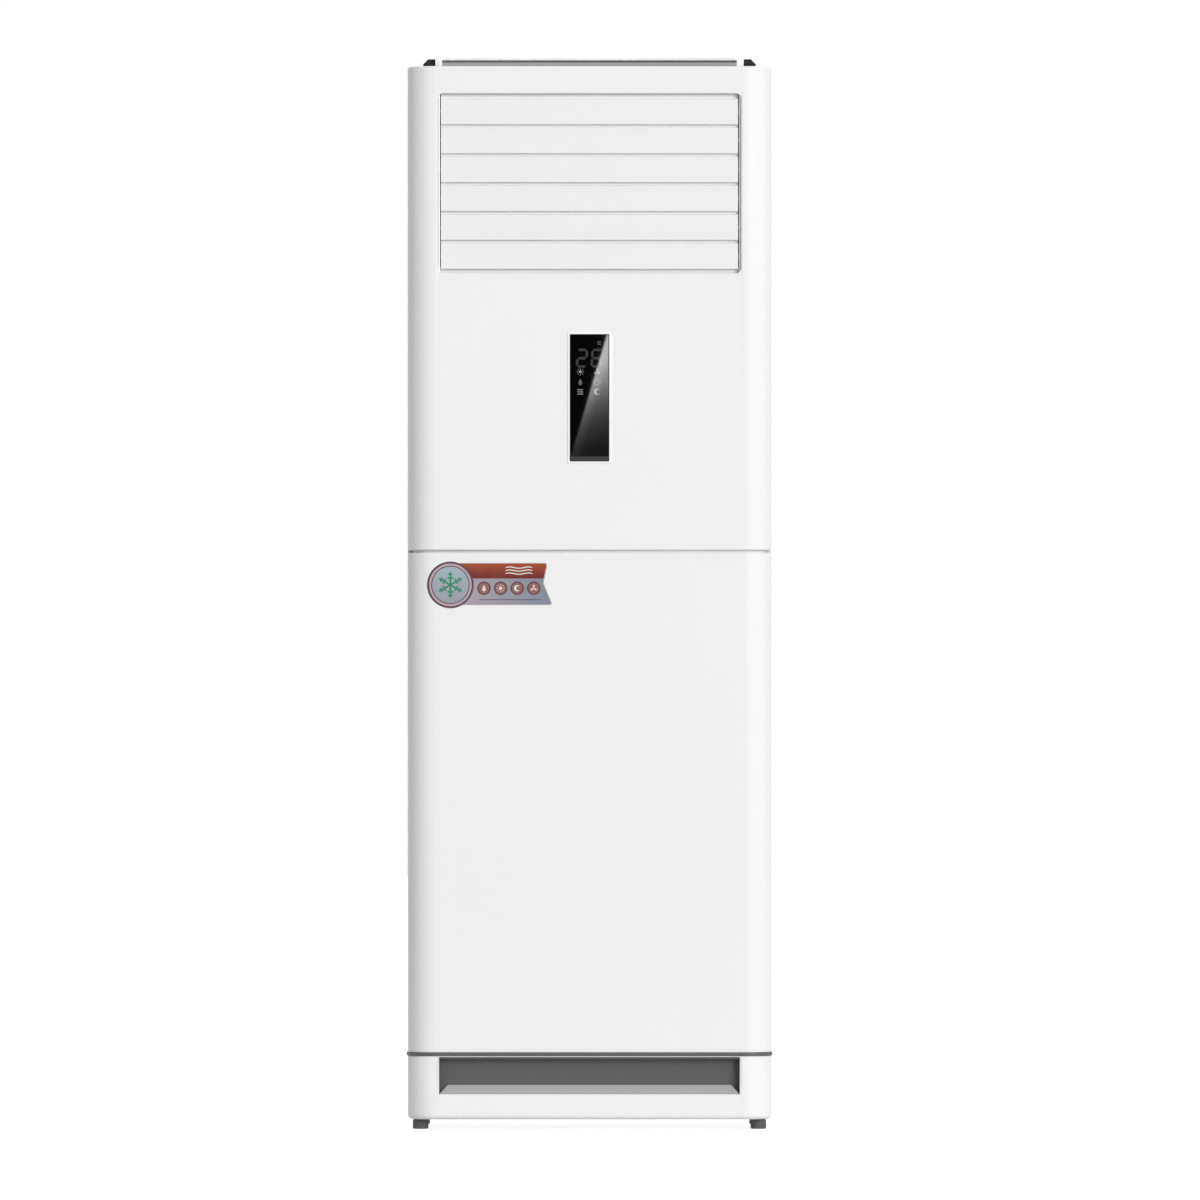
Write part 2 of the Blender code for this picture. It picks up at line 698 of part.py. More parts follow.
def side_filter(side):
    outer = side * (HALF_WIDTH - SHEET - FIT)
    panel = rectangle(
        slot_columns[0] - slot_half_length - FILTER_MARGIN,
        slot_columns[-1] + slot_half_length + FILTER_MARGIN,
        slot_rows[0] - FILTER_MARGIN,
        slot_rows[-1] + FILTER_MARGIN,
        FILTER_CORNER,
    )
    return prism([panel], "x", outer - side * FILTER_WALL, outer)


mirrored_pair("side_panel", side_panel, SHEET_WHITE)
mirrored_pair("side_filter", side_filter, MESH_GREY)

# Back panel: one sheet with pressed swages and the pipe hole
back_half = HALF_WIDTH - REAR_CORNER_RADIUS
back_top = SIDES_TOP
swage_half = back_half - SWAGE_SIDE_MARGIN
swage_levels = np.linspace(PANELS_BOTTOM + SWAGE_LOW_MARGIN, back_top - SWAGE_HIGH_MARGIN, SWAGE_COUNT)
x_lines = np.array([swage_half, swage_half + SWAGE_SLOPE, back_half])
x_lines = np.concatenate([-x_lines[::-1], x_lines])
z_lines = [PANELS_BOTTOM]
for level in swage_levels:
    z_lines += [
        level - SWAGE_HALF_HEIGHT - SWAGE_SLOPE,
        level - SWAGE_HALF_HEIGHT,
        level + SWAGE_HALF_HEIGHT,
        level + SWAGE_HALF_HEIGHT + SWAGE_SLOPE,
    ]
z_lines = np.array(z_lines + [back_top])
grid_x, grid_z = np.meshgrid(x_lines, z_lines)
nearest = np.min(np.abs(grid_z[..., None] - swage_levels), axis=-1)
pressed = (np.abs(grid_x) <= swage_half) & (nearest <= SWAGE_HALF_HEIGHT + SWAGE_SLOPE / 2)
press = np.where(pressed, SWAGE_DEPTH, 0.0)
outer_sheet = np.stack([grid_x, BACK_Y - press, grid_z], axis=-1).reshape(-1, 3)
inner_sheet = outer_sheet - (0.0, SHEET, 0.0)
rows, columns = grid_x.shape
count = rows * columns
sheet_faces = []
for row in range(rows - 1):
    for column in range(columns - 1):
        corner = row * columns + column
        quad = (corner, corner + 1, corner + columns + 1, corner + columns)
        sheet_faces.append(quad)
        sheet_faces.append(tuple(index + count for index in quad))
border = (
    [(0, c) for c in range(columns)]
    + [(r, columns - 1) for r in range(1, rows)]
    + [(rows - 1, c) for c in range(columns - 2, -1, -1)]
    + [(r, 0) for r in range(rows - 2, 0, -1)]
)
border = [r * columns + c for r, c in border]
for index, here in enumerate(border):
    following = border[(index + 1) % len(border)]
    sheet_faces.append((here, following, following + count, here + count))
back_sheet = clean_mesh("back", np.vstack([outer_sheet, inner_sheet]), sheet_faces, 10)
pipe_centre = (PIPE_HOLE_X, PIPE_HOLE_Z)
pipe_cutter = prism([circle(pipe_centre, PIPE_HOLE_RADIUS, 32)], "y", BACK_Y - 3 * SHEET, BACK_Y + SHEET)
place("back_panel", cut(back_sheet, [pipe_cutter]), SHEET_WHITE)
cover_disc = prism([circle(pipe_centre, PIPE_HOLE_RADIUS - FIT, 32)], "y", BACK_Y - 2 * SHEET, BACK_Y)
cover_rim = prism(
    [circle(pipe_centre, PIPE_HOLE_RADIUS + PIPE_COVER_RIM, 32)],
    "y",
    BACK_SHEET_Y - FIT - SHEET,
    BACK_SHEET_Y - FIT,
)
place("pipe_cover", fused([cover_disc, cover_rim]), SHEET_WHITE)

bracket_top = back_top - BRACKET_BELOW_TOP
bracket_hole_x = BRACKET_WIDTH / 2 - BRACKET_HOLE_SIDE_INSET
bracket_outline = rectangle(
    -BRACKET_WIDTH / 2, BRACKET_WIDTH / 2, bracket_top - BRACKET_HEIGHT, bracket_top, BRACKET_CORNER_RADIUS
)
bracket_holes = [
    circle((side * bracket_hole_x, bracket_top - drop), BRACKET_HOLE_RADIUS, 16)
    for side in (-1, 1)
    for drop in (BRACKET_HOLE_END_INSET, BRACKET_HEIGHT - BRACKET_HOLE_END_INSET)
]
place(
    "wall_bracket",
    prism([bracket_outline, *bracket_holes], "y", BACK_Y + FIT, BACK_Y + FIT + BRACKET_WALL),
    PAN_STEEL,
)

# Top plate: a lid that drops between the panels
lid_points, lid_inward = wrap_path()
front_edge = (lid_points + (PANEL_WALL + FIT) * lid_inward)[1:-1]
side_x = HALF_WIDTH - SHEET - FIT
lid_loop = np.vstack(
    [
        [(-side_x, SIDE_BACK_Y - SHEET - FIT)],
        [(-side_x, SIDE_FRONT_Y + SHEET + FIT)],
        [(-HALF_WIDTH + SIDE_FLANGE + FIT, SIDE_FRONT_Y + SHEET + FIT)],
        [(-HALF_WIDTH + SIDE_FLANGE + FIT, WRAP_Y - FIT)],
        [(-HALF_WIDTH + PANEL_WALL + FIT, WRAP_Y - FIT)],
        front_edge,
        [(HALF_WIDTH - PANEL_WALL - FIT, WRAP_Y - FIT)],
        [(HALF_WIDTH - SIDE_FLANGE - FIT, WRAP_Y - FIT)],
        [(HALF_WIDTH - SIDE_FLANGE - FIT, SIDE_FRONT_Y + SHEET + FIT)],
        [(side_x, SIDE_FRONT_Y + SHEET + FIT)],
        [(side_x, SIDE_BACK_Y - SHEET - FIT)],
    ]
)
inner_radius = REAR_CORNER_RADIUS - SHEET
lid_radii = np.zeros(len(lid_loop))
lid_radii[[0, -1]] = inner_radius + FIT
lid_loop = fillet(lid_loop, lid_radii, 5)
place("top_plate", prism([lid_loop], "z", SIDES_TOP - SHEET, SIDES_TOP), SHEET_WHITE)

# Top cover strip with its hooks and end caps
strip_half = COVER_WIDTH / 2
strip_front = FRONT_Y + COVER_FRONT_INSET
strip_back = BACK_Y - COVER_BACK_INSET
deck = SIDES_TOP + FIT
strip_top = TOP_DECK + TOP_COVER_HEIGHT


def strip_section(skin):
    # Side outline of the strip: upright, groove, overhanging bevel and sloping back, drawn in by a skin.
    front, back, top = strip_front + skin, strip_back - skin, strip_top - skin
    floor = deck if skin == 0 else deck - skin
    return [
        (front, floor),
        (back, floor),
        (back, top - COVER_BEVEL_DROP),
        (back - COVER_BEVEL_RUN, top),
        (front + COVER_BEVEL_RUN, top),
        (front, top - COVER_BEVEL_DROP),
    ]


groove = rectangle(
    strip_front - COVER_GROOVE_DEPTH,
    strip_front + COVER_GROOVE_DEPTH,
    strip_top - COVER_GROOVE_BOTTOM,
    strip_top - COVER_GROOVE_TOP,
)
end_wedges = [
    prism(
        [
            [
                (side * (strip_half - COVER_END_RUN), strip_top + FIT),
                (side * (strip_half + FIT), strip_top - COVER_BEVEL_DROP),
                (side * (strip_half + FIT), strip_top + FIT),
            ]
        ],
        "y",
        strip_front - COVER_WALL,
        strip_back + COVER_WALL,
    )
    for side in (-1, 1)
]
strip_radii = [0, 0, SOFT_EDGE, PANEL_EDGE_ROUND, PANEL_EDGE_ROUND, SOFT_EDGE]
strip_outer = prism([fillet(strip_section(0.0), strip_radii, 3)], "x", -strip_half, strip_half)
inner_half = strip_half - COVER_WALL - COVER_END_RUN
strip_inner = prism([strip_section(COVER_WALL)], "x", -inner_half, inner_half)
groove_cutter = prism([groove], "x", -strip_half - FIT, strip_half + FIT)
strip_cutters = [strip_inner, groove_cutter, *end_wedges]
place("top_cover_strip", cut(strip_outer, strip_cutters), COVER_GREY)

hook_start = strip_half + FIT
hook_end = hook_start + HOOK_WIDTH
cap_start = hook_end + FIT


def panel_hook(side):
    profile = fillet(
        [
            (strip_front, deck),
            (strip_front + HOOK_DEPTH, deck),
            (strip_front + HOOK_DEPTH, TOP_DECK + HOOK_HEIGHT - HOOK_CORNER),
            (strip_front + HOOK_DEPTH - HOOK_CORNER, TOP_DECK + HOOK_HEIGHT),
            (strip_front, TOP_DECK + HOOK_HEIGHT),
        ],
        [0, 0, HOOK_EDGE, HOOK_EDGE, HOOK_FRONT_ROUND],
    )
    return prism([profile], "x", side * hook_start, side * hook_end)


def end_cap(side):
    cap_top = TOP_DECK + CAP_HEIGHT
    profile = fillet(
        [
            (side * cap_start, deck),
            (side * (cap_start + CAP_WIDTH), deck),
            (side * (cap_start + CAP_WIDTH), TOP_DECK + CAP_EDGE),
            (side * (cap_start + CAP_WIDTH - CAP_SLANT), cap_top),
            (side * cap_start, cap_top),
        ],
        [0, 0, CAP_ROUND, CAP_ROUND, CAP_ROUND],
    )
    front = FRONT_Y + CAP_FRONT_INSET
    groove_outline = rectangle(
        front - CAP_GROOVE_DEPTH,
        front + CAP_GROOVE_DEPTH,
        strip_top - COVER_GROOVE_BOTTOM,
        strip_top - COVER_GROOVE_TOP,
    )
    ends = sorted((side * (cap_start - FIT), side * (cap_start + CAP_WIDTH + FIT)))
    return cut(prism([profile], "y", front, strip_back), [prism([groove_outline], "x", *ends)])


mirrored_pair("panel_hook", panel_hook, BEZEL_WHITE)
mirrored_pair("top_end_cap", end_cap, CAP_BLACK)

# Duct: two bearing plates with the pin holes, a ceiling and a floor with an upstand behind the lowest blade
blade_levels = OUTLET_TOP - BLADE_TOP_MARGIN - BLADE_HALF - BLADE_PITCH * np.arange(BLADE_COUNT)
plate_outline = rectangle(DUCT_FRONT_Y, DUCT_BACK_Y, DUCT_FLOOR - DUCT_WALL, DUCT_CEILING + DUCT_WALL)
pin_holes = [circle((AXIS_Y, level), PIN_RADIUS + PIN_PLAY, 16) for level in blade_levels]


def bearing_plate(side):
    return prism(
        [plate_outline, *pin_holes], "x", side * BEARING_FACE, side * (BEARING_FACE + BEARING_WALL)
    )


mirrored_pair("louver_bearing", bearing_plate, DUCT_WHITE)
duct_half = BEARING_FACE - FIT
place(
    "duct_top",
    prism(
        [rectangle(DUCT_FRONT_Y, DUCT_BACK_Y, DUCT_CEILING, DUCT_CEILING + DUCT_WALL)],
        "x",
        -duct_half,
        duct_half,
    ),
    DUCT_WHITE,
)
upstand_front = AXIS_Y - AXIS_BEHIND_BLADE + BLADE_WALL + LAP_CLEARANCE
upstand_top = OUTLET_BOTTOM + BLADE_BOTTOM_MARGIN + LAP_OVERLAP
floor_profile = [
    (DUCT_FRONT_Y, DUCT_FLOOR - DUCT_WALL),
    (DUCT_BACK_Y, DUCT_FLOOR - DUCT_WALL),
    (DUCT_BACK_Y, DUCT_FLOOR),
    (upstand_front + LAP_WALL, DUCT_FLOOR),
    (upstand_front + LAP_WALL, upstand_top),
    (upstand_front, upstand_top),
    (upstand_front, DUCT_FLOOR),
    (DUCT_FRONT_Y, DUCT_FLOOR),
]
place("duct_bottom", prism([floor_profile], "x", -duct_half, duct_half), DUCT_WHITE)

# Vanes that steer the air sideways, and the coil behind them
vane_front = AXIS_Y + VANE_BEHIND_AXIS
vane_spacing = 2 * duct_half / (VANE_COUNT + 1)
vane_mesh = prism(
    [
        fillet(
            [
                (-VANE_WALL / 2, 0.0),
                (VANE_WALL / 2, 0.0),
                (VANE_WALL / 4, VANE_DEPTH),
                (-VANE_WALL / 4, VANE_DEPTH),
            ],
            [VANE_WALL * 0.45, VANE_WALL * 0.45, VANE_WALL * 0.2, VANE_WALL * 0.2],
            3,
        )
    ],
    "z",
    DUCT_FLOOR + FIT,
    DUCT_CEILING - FIT,
)
for index in range(VANE_COUNT):
    place(
        f"swing_vane_{index + 1}",
        vane_mesh,
        BLADE_WHITE,
        (-duct_half + vane_spacing * (index + 1), vane_front, 0.0),
    )
place(
    "evaporator_coil",
    prism(
        [rectangle(-duct_half, duct_half, DUCT_FLOOR + FIT, DUCT_CEILING - FIT)],
        "y",
        DUCT_BACK_Y - COIL_THICKNESS,
        DUCT_BACK_Y,
    ),
    COIL_METAL,
)

# Blades: a face plate with a hidden lap, end webs with pins, and a crank arm; all six share one mesh
blade_front = -AXIS_BEHIND_BLADE
blade_back = blade_front + BLADE_WALL
lap_front = blade_back + LAP_CLEARANCE
lap_top = BLADE_HALF + BLADE_GAP + LAP_OVERLAP
blade_profile = fillet(
    [
        (blade_front, -BLADE_HALF),
        (blade_back, -BLADE_HALF),
        (blade_back, BLADE_HALF - BLADE_WALL),
        (lap_front + LAP_WALL, BLADE_HALF - BLADE_WALL),
        (lap_front + LAP_WALL, lap_top),
        (lap_front, lap_top),
        (lap_front, BLADE_HALF),
        (blade_front, BLADE_HALF),
    ],
    [
        BLADE_LOW_ROUND,
        BLADE_BACK_ROUND,
        BLADE_INNER_ROUND,
        BLADE_INNER_ROUND,
        LAP_ROUND,
        LAP_ROUND,
        BLADE_INNER_ROUND,
        BLADE_TOP_ROUND,
    ],
)
web_root = blade_front + BLADE_WALL / 2
web_profile = fillet(
    [
        (web_root, -2 * WEB_RADIUS),
        (WEB_RADIUS, -WEB_RADIUS),
        (WEB_RADIUS, WEB_RADIUS),
        (web_root, 2 * WEB_RADIUS),
    ],
    [0, WEB_RADIUS * 0.9, WEB_RADIUS * 0.9, 0],
)
arm_profile = np.vstack(
    [
        [(web_root, BLADE_HALF * 0.05), (web_root + 0.004, BLADE_HALF * 0.05)],
        [
            (ARM_PIN_BACK + ARM_RADIUS * math.cos(angle), ARM_PIN_UP + ARM_RADIUS * math.sin(angle))
            for angle in np.radians(np.linspace(-20, 200, 9))
        ],
        [(LAP_WALL + lap_front, BLADE_HALF - BLADE_WALL / 2), (web_root, BLADE_HALF - BLADE_WALL / 2)],
    ]
)
pin_reach = BEARING_FACE + BEARING_WALL
tie_bar_start = ARM_X + ARM_WALL / 2 + PIN_PLAY
tie_bar_end = tie_bar_start + TIE_BAR_WALL
blade_mesh = fused(
    [
        prism([blade_profile], "x", -BLADE_END, BLADE_END),
        prism([web_profile], "x", -BLADE_END, -BLADE_END + WEB_WALL),
        prism([web_profile], "x", BLADE_END - WEB_WALL, BLADE_END),
        prism([circle((0, 0), PIN_RADIUS, 16)], "x", -pin_reach, -BLADE_END + WEB_WALL / 2),
        prism([circle((0, 0), PIN_RADIUS, 16)], "x", BLADE_END - WEB_WALL / 2, pin_reach),
        prism([arm_profile], "x", ARM_X - ARM_WALL / 2, ARM_X + ARM_WALL / 2),
        prism([circle((ARM_PIN_BACK, ARM_PIN_UP), ARM_PIN_RADIUS, 12)], "x", ARM_X, tie_bar_end + PIN_PLAY),
    ]
)
for index, level in enumerate(blade_levels):
    place(f"louver_blade_{index + 1}", blade_mesh, BLADE_WHITE, (0.0, AXIS_Y, level))

# Tie bar: a strip with six holes that carries every crank pin; its origin is on the top pin
bar_end = TIE_BAR_END
bar_low = -BLADE_PITCH * (BLADE_COUNT - 1) - bar_end
bar_outline = rectangle(-TIE_BAR_HALF_WIDTH, TIE_BAR_HALF_WIDTH, bar_low, bar_end, TIE_BAR_HALF_WIDTH * 0.9)
bar_drops = [BLADE_PITCH * index for index in range(BLADE_COUNT)]
bar_holes = [circle((0.0, -drop), ARM_PIN_RADIUS + PIN_PLAY, 12) for drop in bar_drops]
place(
    "louver_tie_bar",
    prism([bar_outline, *bar_holes], "x", tie_bar_start, tie_bar_end),
    DUCT_WHITE,
    (0.0, AXIS_Y + ARM_PIN_BACK, blade_levels[0] + ARM_PIN_UP),
)
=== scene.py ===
import math

import bmesh
import bpy
import numpy as np
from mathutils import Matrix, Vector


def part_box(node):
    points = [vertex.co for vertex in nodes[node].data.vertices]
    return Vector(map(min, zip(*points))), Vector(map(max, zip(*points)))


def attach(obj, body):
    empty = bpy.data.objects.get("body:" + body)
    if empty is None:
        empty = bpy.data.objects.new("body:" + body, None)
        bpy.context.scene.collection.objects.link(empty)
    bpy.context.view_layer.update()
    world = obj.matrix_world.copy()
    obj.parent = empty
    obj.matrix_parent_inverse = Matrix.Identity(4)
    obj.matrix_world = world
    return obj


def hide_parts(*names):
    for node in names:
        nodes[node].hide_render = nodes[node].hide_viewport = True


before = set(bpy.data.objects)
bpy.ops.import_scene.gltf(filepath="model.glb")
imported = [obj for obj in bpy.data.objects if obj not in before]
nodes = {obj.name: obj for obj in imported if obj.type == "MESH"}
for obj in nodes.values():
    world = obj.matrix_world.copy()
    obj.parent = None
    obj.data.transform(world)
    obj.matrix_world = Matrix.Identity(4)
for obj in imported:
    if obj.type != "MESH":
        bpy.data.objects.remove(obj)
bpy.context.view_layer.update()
print("frame loaded:", len(nodes), "nodes")

scene = bpy.context.scene
scene.view_settings.view_transform = "Standard"

cabinetBody = "cabinet"
panelLow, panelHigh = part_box("upper_front_panel")
panelFace = panelLow.y  # the flat front of the cabinet
halfWidth = panelHigh.x
cornerRadius = 0.046  # the front corners in plan
fullTurn = 2 * math.pi
skin = {"sharpAngle": 38, "mergeDistance": 1e-6, "normalWeight": 100}


# Mesh helpers
def gridQuads(rows, columns, wrapRows=False, wrapColumns=False):
    # Quads between neighbours of a rows x columns grid of points, wrapped round where asked.
    row = np.arange(rows if wrapRows else rows - 1)
    column = np.arange(columns if wrapColumns else columns - 1)
    row, column = np.meshgrid(row, column, indexing="ij")
    here, below = row * columns, (row + 1) % rows * columns
    beside = (column + 1) % columns
    return np.stack([here + column, here + beside, below + beside, below + column], -1).reshape(-1, 4)


def boxShape(low, size):
    # The eight corners low + (i, j, k) * size, with i, j and k 0 or 1, and the six sides between them.
    corners = np.array([(i, j, k) for i in (0, 1) for j in (0, 1) for k in (0, 1)], float)
    sides = np.array([(0, 1, 3, 2), (4, 6, 7, 5), (0, 4, 5, 1), (2, 3, 7, 6), (0, 2, 6, 4), (1, 5, 7, 3)])
    return corners * size + low, sides


def circleAngles(count):
    return np.linspace(0, fullTurn, count, endpoint=False)


def mergeParts(parts):
    # Stacks (points, faces) pairs into one pair.
    points, faces, start = [], [], 0
    for partPoints, partFaces in parts:
        points.append(np.asarray(partPoints, float).reshape(-1, 3))
        faces += [[int(i) + start for i in face] for face in partFaces]
        start += len(points[-1])
    return np.vstack(points), faces


def shadedPiece(name, mesh, material, sharpAngle):
    # Gives a mesh its material and smooth shading, and puts it into the scene at the origin.
    mesh.materials.clear()
    mesh.materials.append(material)
    mesh.shade_smooth()
    mesh.set_sharp_from_angle(angle=math.radians(sharpAngle))
    piece = bpy.data.objects.new(name, mesh)
    scene.collection.objects.link(piece)
    return piece


def newPiece(name, points, faces, material, sharpAngle=35, flip=False):
    # Puts points and faces into a mesh object, turned inside out where asked.
    faces = [[int(i) for i in face] for face in faces]
    if flip:
        faces = [face[::-1] for face in faces]
    mesh = bpy.data.meshes.new(name)
    mesh.from_pydata(np.asarray(points, float).tolist(), [], faces)
    return shadedPiece(name, mesh, material, sharpAngle)


def smoothSkin(nodeName, pieceName, material, body=cabinetBody):
    # A merged copy of a CAD node, shaded smooth over its rounds, that stands for the node.
    mesh = nodes[nodeName].data.copy()
    mesh.name = pieceName
    work = bmesh.new()
    work.from_mesh(mesh)
    bmesh.ops.remove_doubles(work, verts=work.verts, dist=skin["mergeDistance"])
    work.to_mesh(mesh)
    work.free()
    piece = shadedPiece(pieceName, mesh, material, skin["sharpAngle"])
    even = piece.modifiers.new("even normals", "WEIGHTED_NORMAL")
    even.mode = "FACE_AREA"
    even.weight = skin["normalWeight"]
    even.keep_sharp = True
    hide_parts(nodeName)
    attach(piece, body)
    return piece


# Shader helpers
def addNode(tree, kind, **settings):
    node = tree.nodes.new("ShaderNode" + kind)
    for key, value in settings.items():
        setattr(node, key, value)
    return node


def feed(tree, socket, value):
    # Sets a socket to a number or a colour of three numbers, or else links it to another socket.
    if isinstance(value, (int, float)):
        socket.default_value = value
    elif isinstance(value, tuple):
        socket.default_value = (*value, 1.0)
    else:
        tree.links.new(value, socket)


def feedAll(tree, node, values):
    for label, value in values.items():
        feed(tree, node.inputs[label], value)


def mathNode(tree, operation, *values, clamp=False):
    node = addNode(tree, "Math", operation=operation, use_clamp=clamp)
    feedAll(tree, node, dict(enumerate(values)))
    return node.outputs[0]


def weighMasks(tree, first, share, second):
    # The given share of the first mask plus the rest of the second.
    return mathNode(tree, "MULTIPLY_ADD", first, share, mathNode(tree, "MULTIPLY", second, 1.0 - share))


def noiseNode(tree, vector, scale, detail, rough):
    node = addNode(tree, "TexNoise")
    feedAll(tree, node, {"Vector": vector, "Scale": scale, "Detail": detail, "Roughness": rough})
    return node.outputs["Fac"]


def mixColour(tree, factor, first, second):
    node = addNode(tree, "Mix", data_type="RGBA")
    feedAll(tree, node, {0: factor, 6: first, 7: second})  # 6 and 7 are the colour inputs
    return node.outputs[2]


def smoothRange(tree, value, fromLow, fromHigh, toLow, toHigh):
    node = addNode(tree, "MapRange", interpolation_type="SMOOTHSTEP")
    ends = {"From Min": fromLow, "From Max": fromHigh, "To Min": toLow, "To Max": toHigh}
    feedAll(tree, node, {"Value": value, **ends})
    return node.outputs[0]


def objectPlace(tree):
    return addNode(tree, "TexCoord").outputs["Object"]


def splitVector(tree, vector):
    node = addNode(tree, "SeparateXYZ")
    feed(tree, node.inputs[0], vector)
    return node.outputs


def newGroup(name, inputs, outputs=("Color", "Roughness", "Height")):
    # A group that reads a vector and the named inputs: a number, a colour, or a vector where None is given.
    group = bpy.data.node_groups.new(name, "ShaderNodeTree")
    for label, value in {"Vector": None, **inputs}.items():
        kind = "Vector" if value is None else "Color" if isinstance(value, tuple) else "Float"
        socket = group.interface.new_socket(name=label, in_out="INPUT", socket_type="NodeSocket" + kind)
        if value is not None:
            feed(group, socket, value)
    for label in outputs:
        kind = "Color" if label == "Color" else "Float"
        group.interface.new_socket(name=label, in_out="OUTPUT", socket_type="NodeSocket" + kind)
    return group, group.nodes.new("NodeGroupInput").outputs, group.nodes.new("NodeGroupOutput").inputs


def grey(tone):
    return (tone, tone, tone)


coatInputs = {"Light": grey(0.8), "Dark": grey(0.75), "Roughness": 0.45, "Roughness Swing": 0.1}


def coatOutputs(group, given, made, blend, sheen, height):
    # Two tones by one mask, a roughness that swings with another, and the height for a bump.
    feed(group, made["Color"], mixColour(group, blend, given["Light"], given["Dark"]))
    swing = mathNode(group, "SUBTRACT", sheen, 0.5)
    rough = mathNode(group, "MULTIPLY_ADD", swing, given["Roughness Swing"], given["Roughness"], clamp=True)
    feed(group, made["Roughness"], rough)
    feed(group, made["Height"], height)


# Spark-eroded plastic: a fine pebble over a slow cloud, for colour, gloss and height.
plasticLook = {
    "pebble": {"detail": 2.0, "rough": 0.55}, "cloud": {"scale": 9.0, "detail": 3.0, "rough": 0.5},
    "cloudShare": 0.6,
}


def makePlasticGrain():
    group, given, made = newGroup("plasticGrain", {**coatInputs, "Pebble Scale": 2400.0})
    pebble = noiseNode(group, given["Vector"], given["Pebble Scale"], **plasticLook["pebble"])
    cloud = noiseNode(group, given["Vector"], **plasticLook["cloud"])
    blend = weighMasks(group, cloud, plasticLook["cloudShare"], pebble)
    coatOutputs(group, given, made, blend, cloud, pebble)
    return group


# Sprayed powder on sheet: broad orange peel with fine specks.
powderLook = {
    "peel": {"detail": 1.0, "rough": 0.4}, "speck": {"scale": 2600.0, "detail": 1.0, "rough": 0.5},
    "cloud": {"scale": 6.0, "detail": 3.0, "rough": 0.5}, "speckHeight": 0.25, "cloudShare": 0.7,
}


def makePowderCoat():
    group, given, made = newGroup("powderCoat", {**coatInputs, "Peel Scale": 420.0})
    peel = noiseNode(group, given["Vector"], given["Peel Scale"], **powderLook["peel"])
    speck = noiseNode(group, given["Vector"], **powderLook["speck"])
    cloud = noiseNode(group, given["Vector"], **powderLook["cloud"])
    blend = weighMasks(group, cloud, powderLook["cloudShare"], speck)
    height = mathNode(group, "MULTIPLY_ADD", speck, powderLook["speckHeight"], peel)
    coatOutputs(group, given, made, blend, peel, height)
    return group


# Woven filter net: threads along the crests of two crossing waves, dark holes between them.
netSoftness = 0.3


def makeFilterNet():
    group, given, made = newGroup(
        "filterNet", {"Thread": grey(0.2), "Hole": grey(0.02), "Pitch": 0.0016}, ("Color", "Height"))
    place = splitVector(group, given["Vector"])
    turns = mathNode(group, "DIVIDE", fullTurn, given["Pitch"])
    waves = [mathNode(group, "COSINE", mathNode(group, "MULTIPLY", place[axis], turns)) for axis in (0, 1)]
    thread = mathNode(group, "SMOOTH_MAX", mathNode(group, "MAXIMUM", *waves), 0.0, netSoftness)
    feed(group, made["Color"], mixColour(group, thread, given["Hole"], given["Thread"]))
    feed(group, made["Height"], thread)
    return group


# Zinc spangle and rolled metal: crystal cells with a faint grain.
spangleLook = {"grain": {"scale": 900.0, "detail": 2.0, "rough": 0.6}, "grainShare": 0.3, "roughSwing": 0.18}


def makeZincSpangle():
    group, given, made = newGroup(
        "zincSpangle",
        {"Light": (0.6, 0.6, 0.62), "Dark": (0.4, 0.41, 0.43), "Cell Scale": 160.0, "Roughness": 0.35})
    cells = addNode(group, "TexVoronoi")
    feedAll(group, cells, {"Vector": given["Vector"], "Scale": given["Cell Scale"]})
    tone = addNode(group, "SeparateColor")
    feed(group, tone.inputs[0], cells.outputs["Color"])
    grain = noiseNode(group, given["Vector"], **spangleLook["grain"])
    blend = weighMasks(group, grain, spangleLook["grainShare"], tone.outputs[0])
    feed(group, made["Color"], mixColour(group, blend, given["Light"], given["Dark"]))
    rough = mathNode(
        group, "MULTIPLY_ADD", tone.outputs[1], spangleLook["roughSwing"], given["Roughness"], clamp=True)
    feed(group, made["Roughness"], rough)
    feed(group, made["Height"], grain)
    return group


# Printed film: an ink that fades into a second one along a direction, under a fine dot screen.
filmLook = {
    "dots": {"detail": 1.0, "rough": 0.5}, "cloud": {"scale": 60.0, "detail": 2.0, "rough": 0.5},
    "dotShare": 0.4, "roughness": 0.24, "roughSwing": 0.12,
}


def makePrintedFilm():
    group, given, made = newGroup(
        "printedFilm",
        {"Ink": (0.5, 0.2, 0.1), "Ink Far": (0.5, 0.2, 0.1), "Fade Axis": None, "Fade Start": 0.0,
         "Dot Scale": 3200.0, "Dot Lift": 0.12},
        ("Color", "Roughness"))
    dots = noiseNode(group, given["Vector"], given["Dot Scale"], **filmLook["dots"])
    cloud = noiseNode(group, given["Vector"], **filmLook["cloud"])
    along = addNode(group, "VectorMath", operation="DOT_PRODUCT")
    feedAll(group, along, {0: given["Vector"], 1: given["Fade Axis"]})
    fade = mathNode(group, "SUBTRACT", along.outputs["Value"], given["Fade Start"], clamp=True)
    tone = mixColour(group, fade, given["Ink"], given["Ink Far"])
    blend = weighMasks(group, dots, filmLook["dotShare"], cloud)
    lift = mathNode(group, "MULTIPLY", blend, given["Dot Lift"])
    feed(group, made["Color"], mixColour(group, lift, tone, grey(1.0)))
    rough = mathNode(group, "MULTIPLY_ADD", cloud, filmLook["roughSwing"], filmLook["roughness"])
    feed(group, made["Roughness"], rough)
    return group


plasticGrain = makePlasticGrain()
powderCoat = makePowderCoat()
filterNet = makeFilterNet()
zincSpangle = makeZincSpangle()
printedFilm = makePrintedFilm()
print("shader groups built")


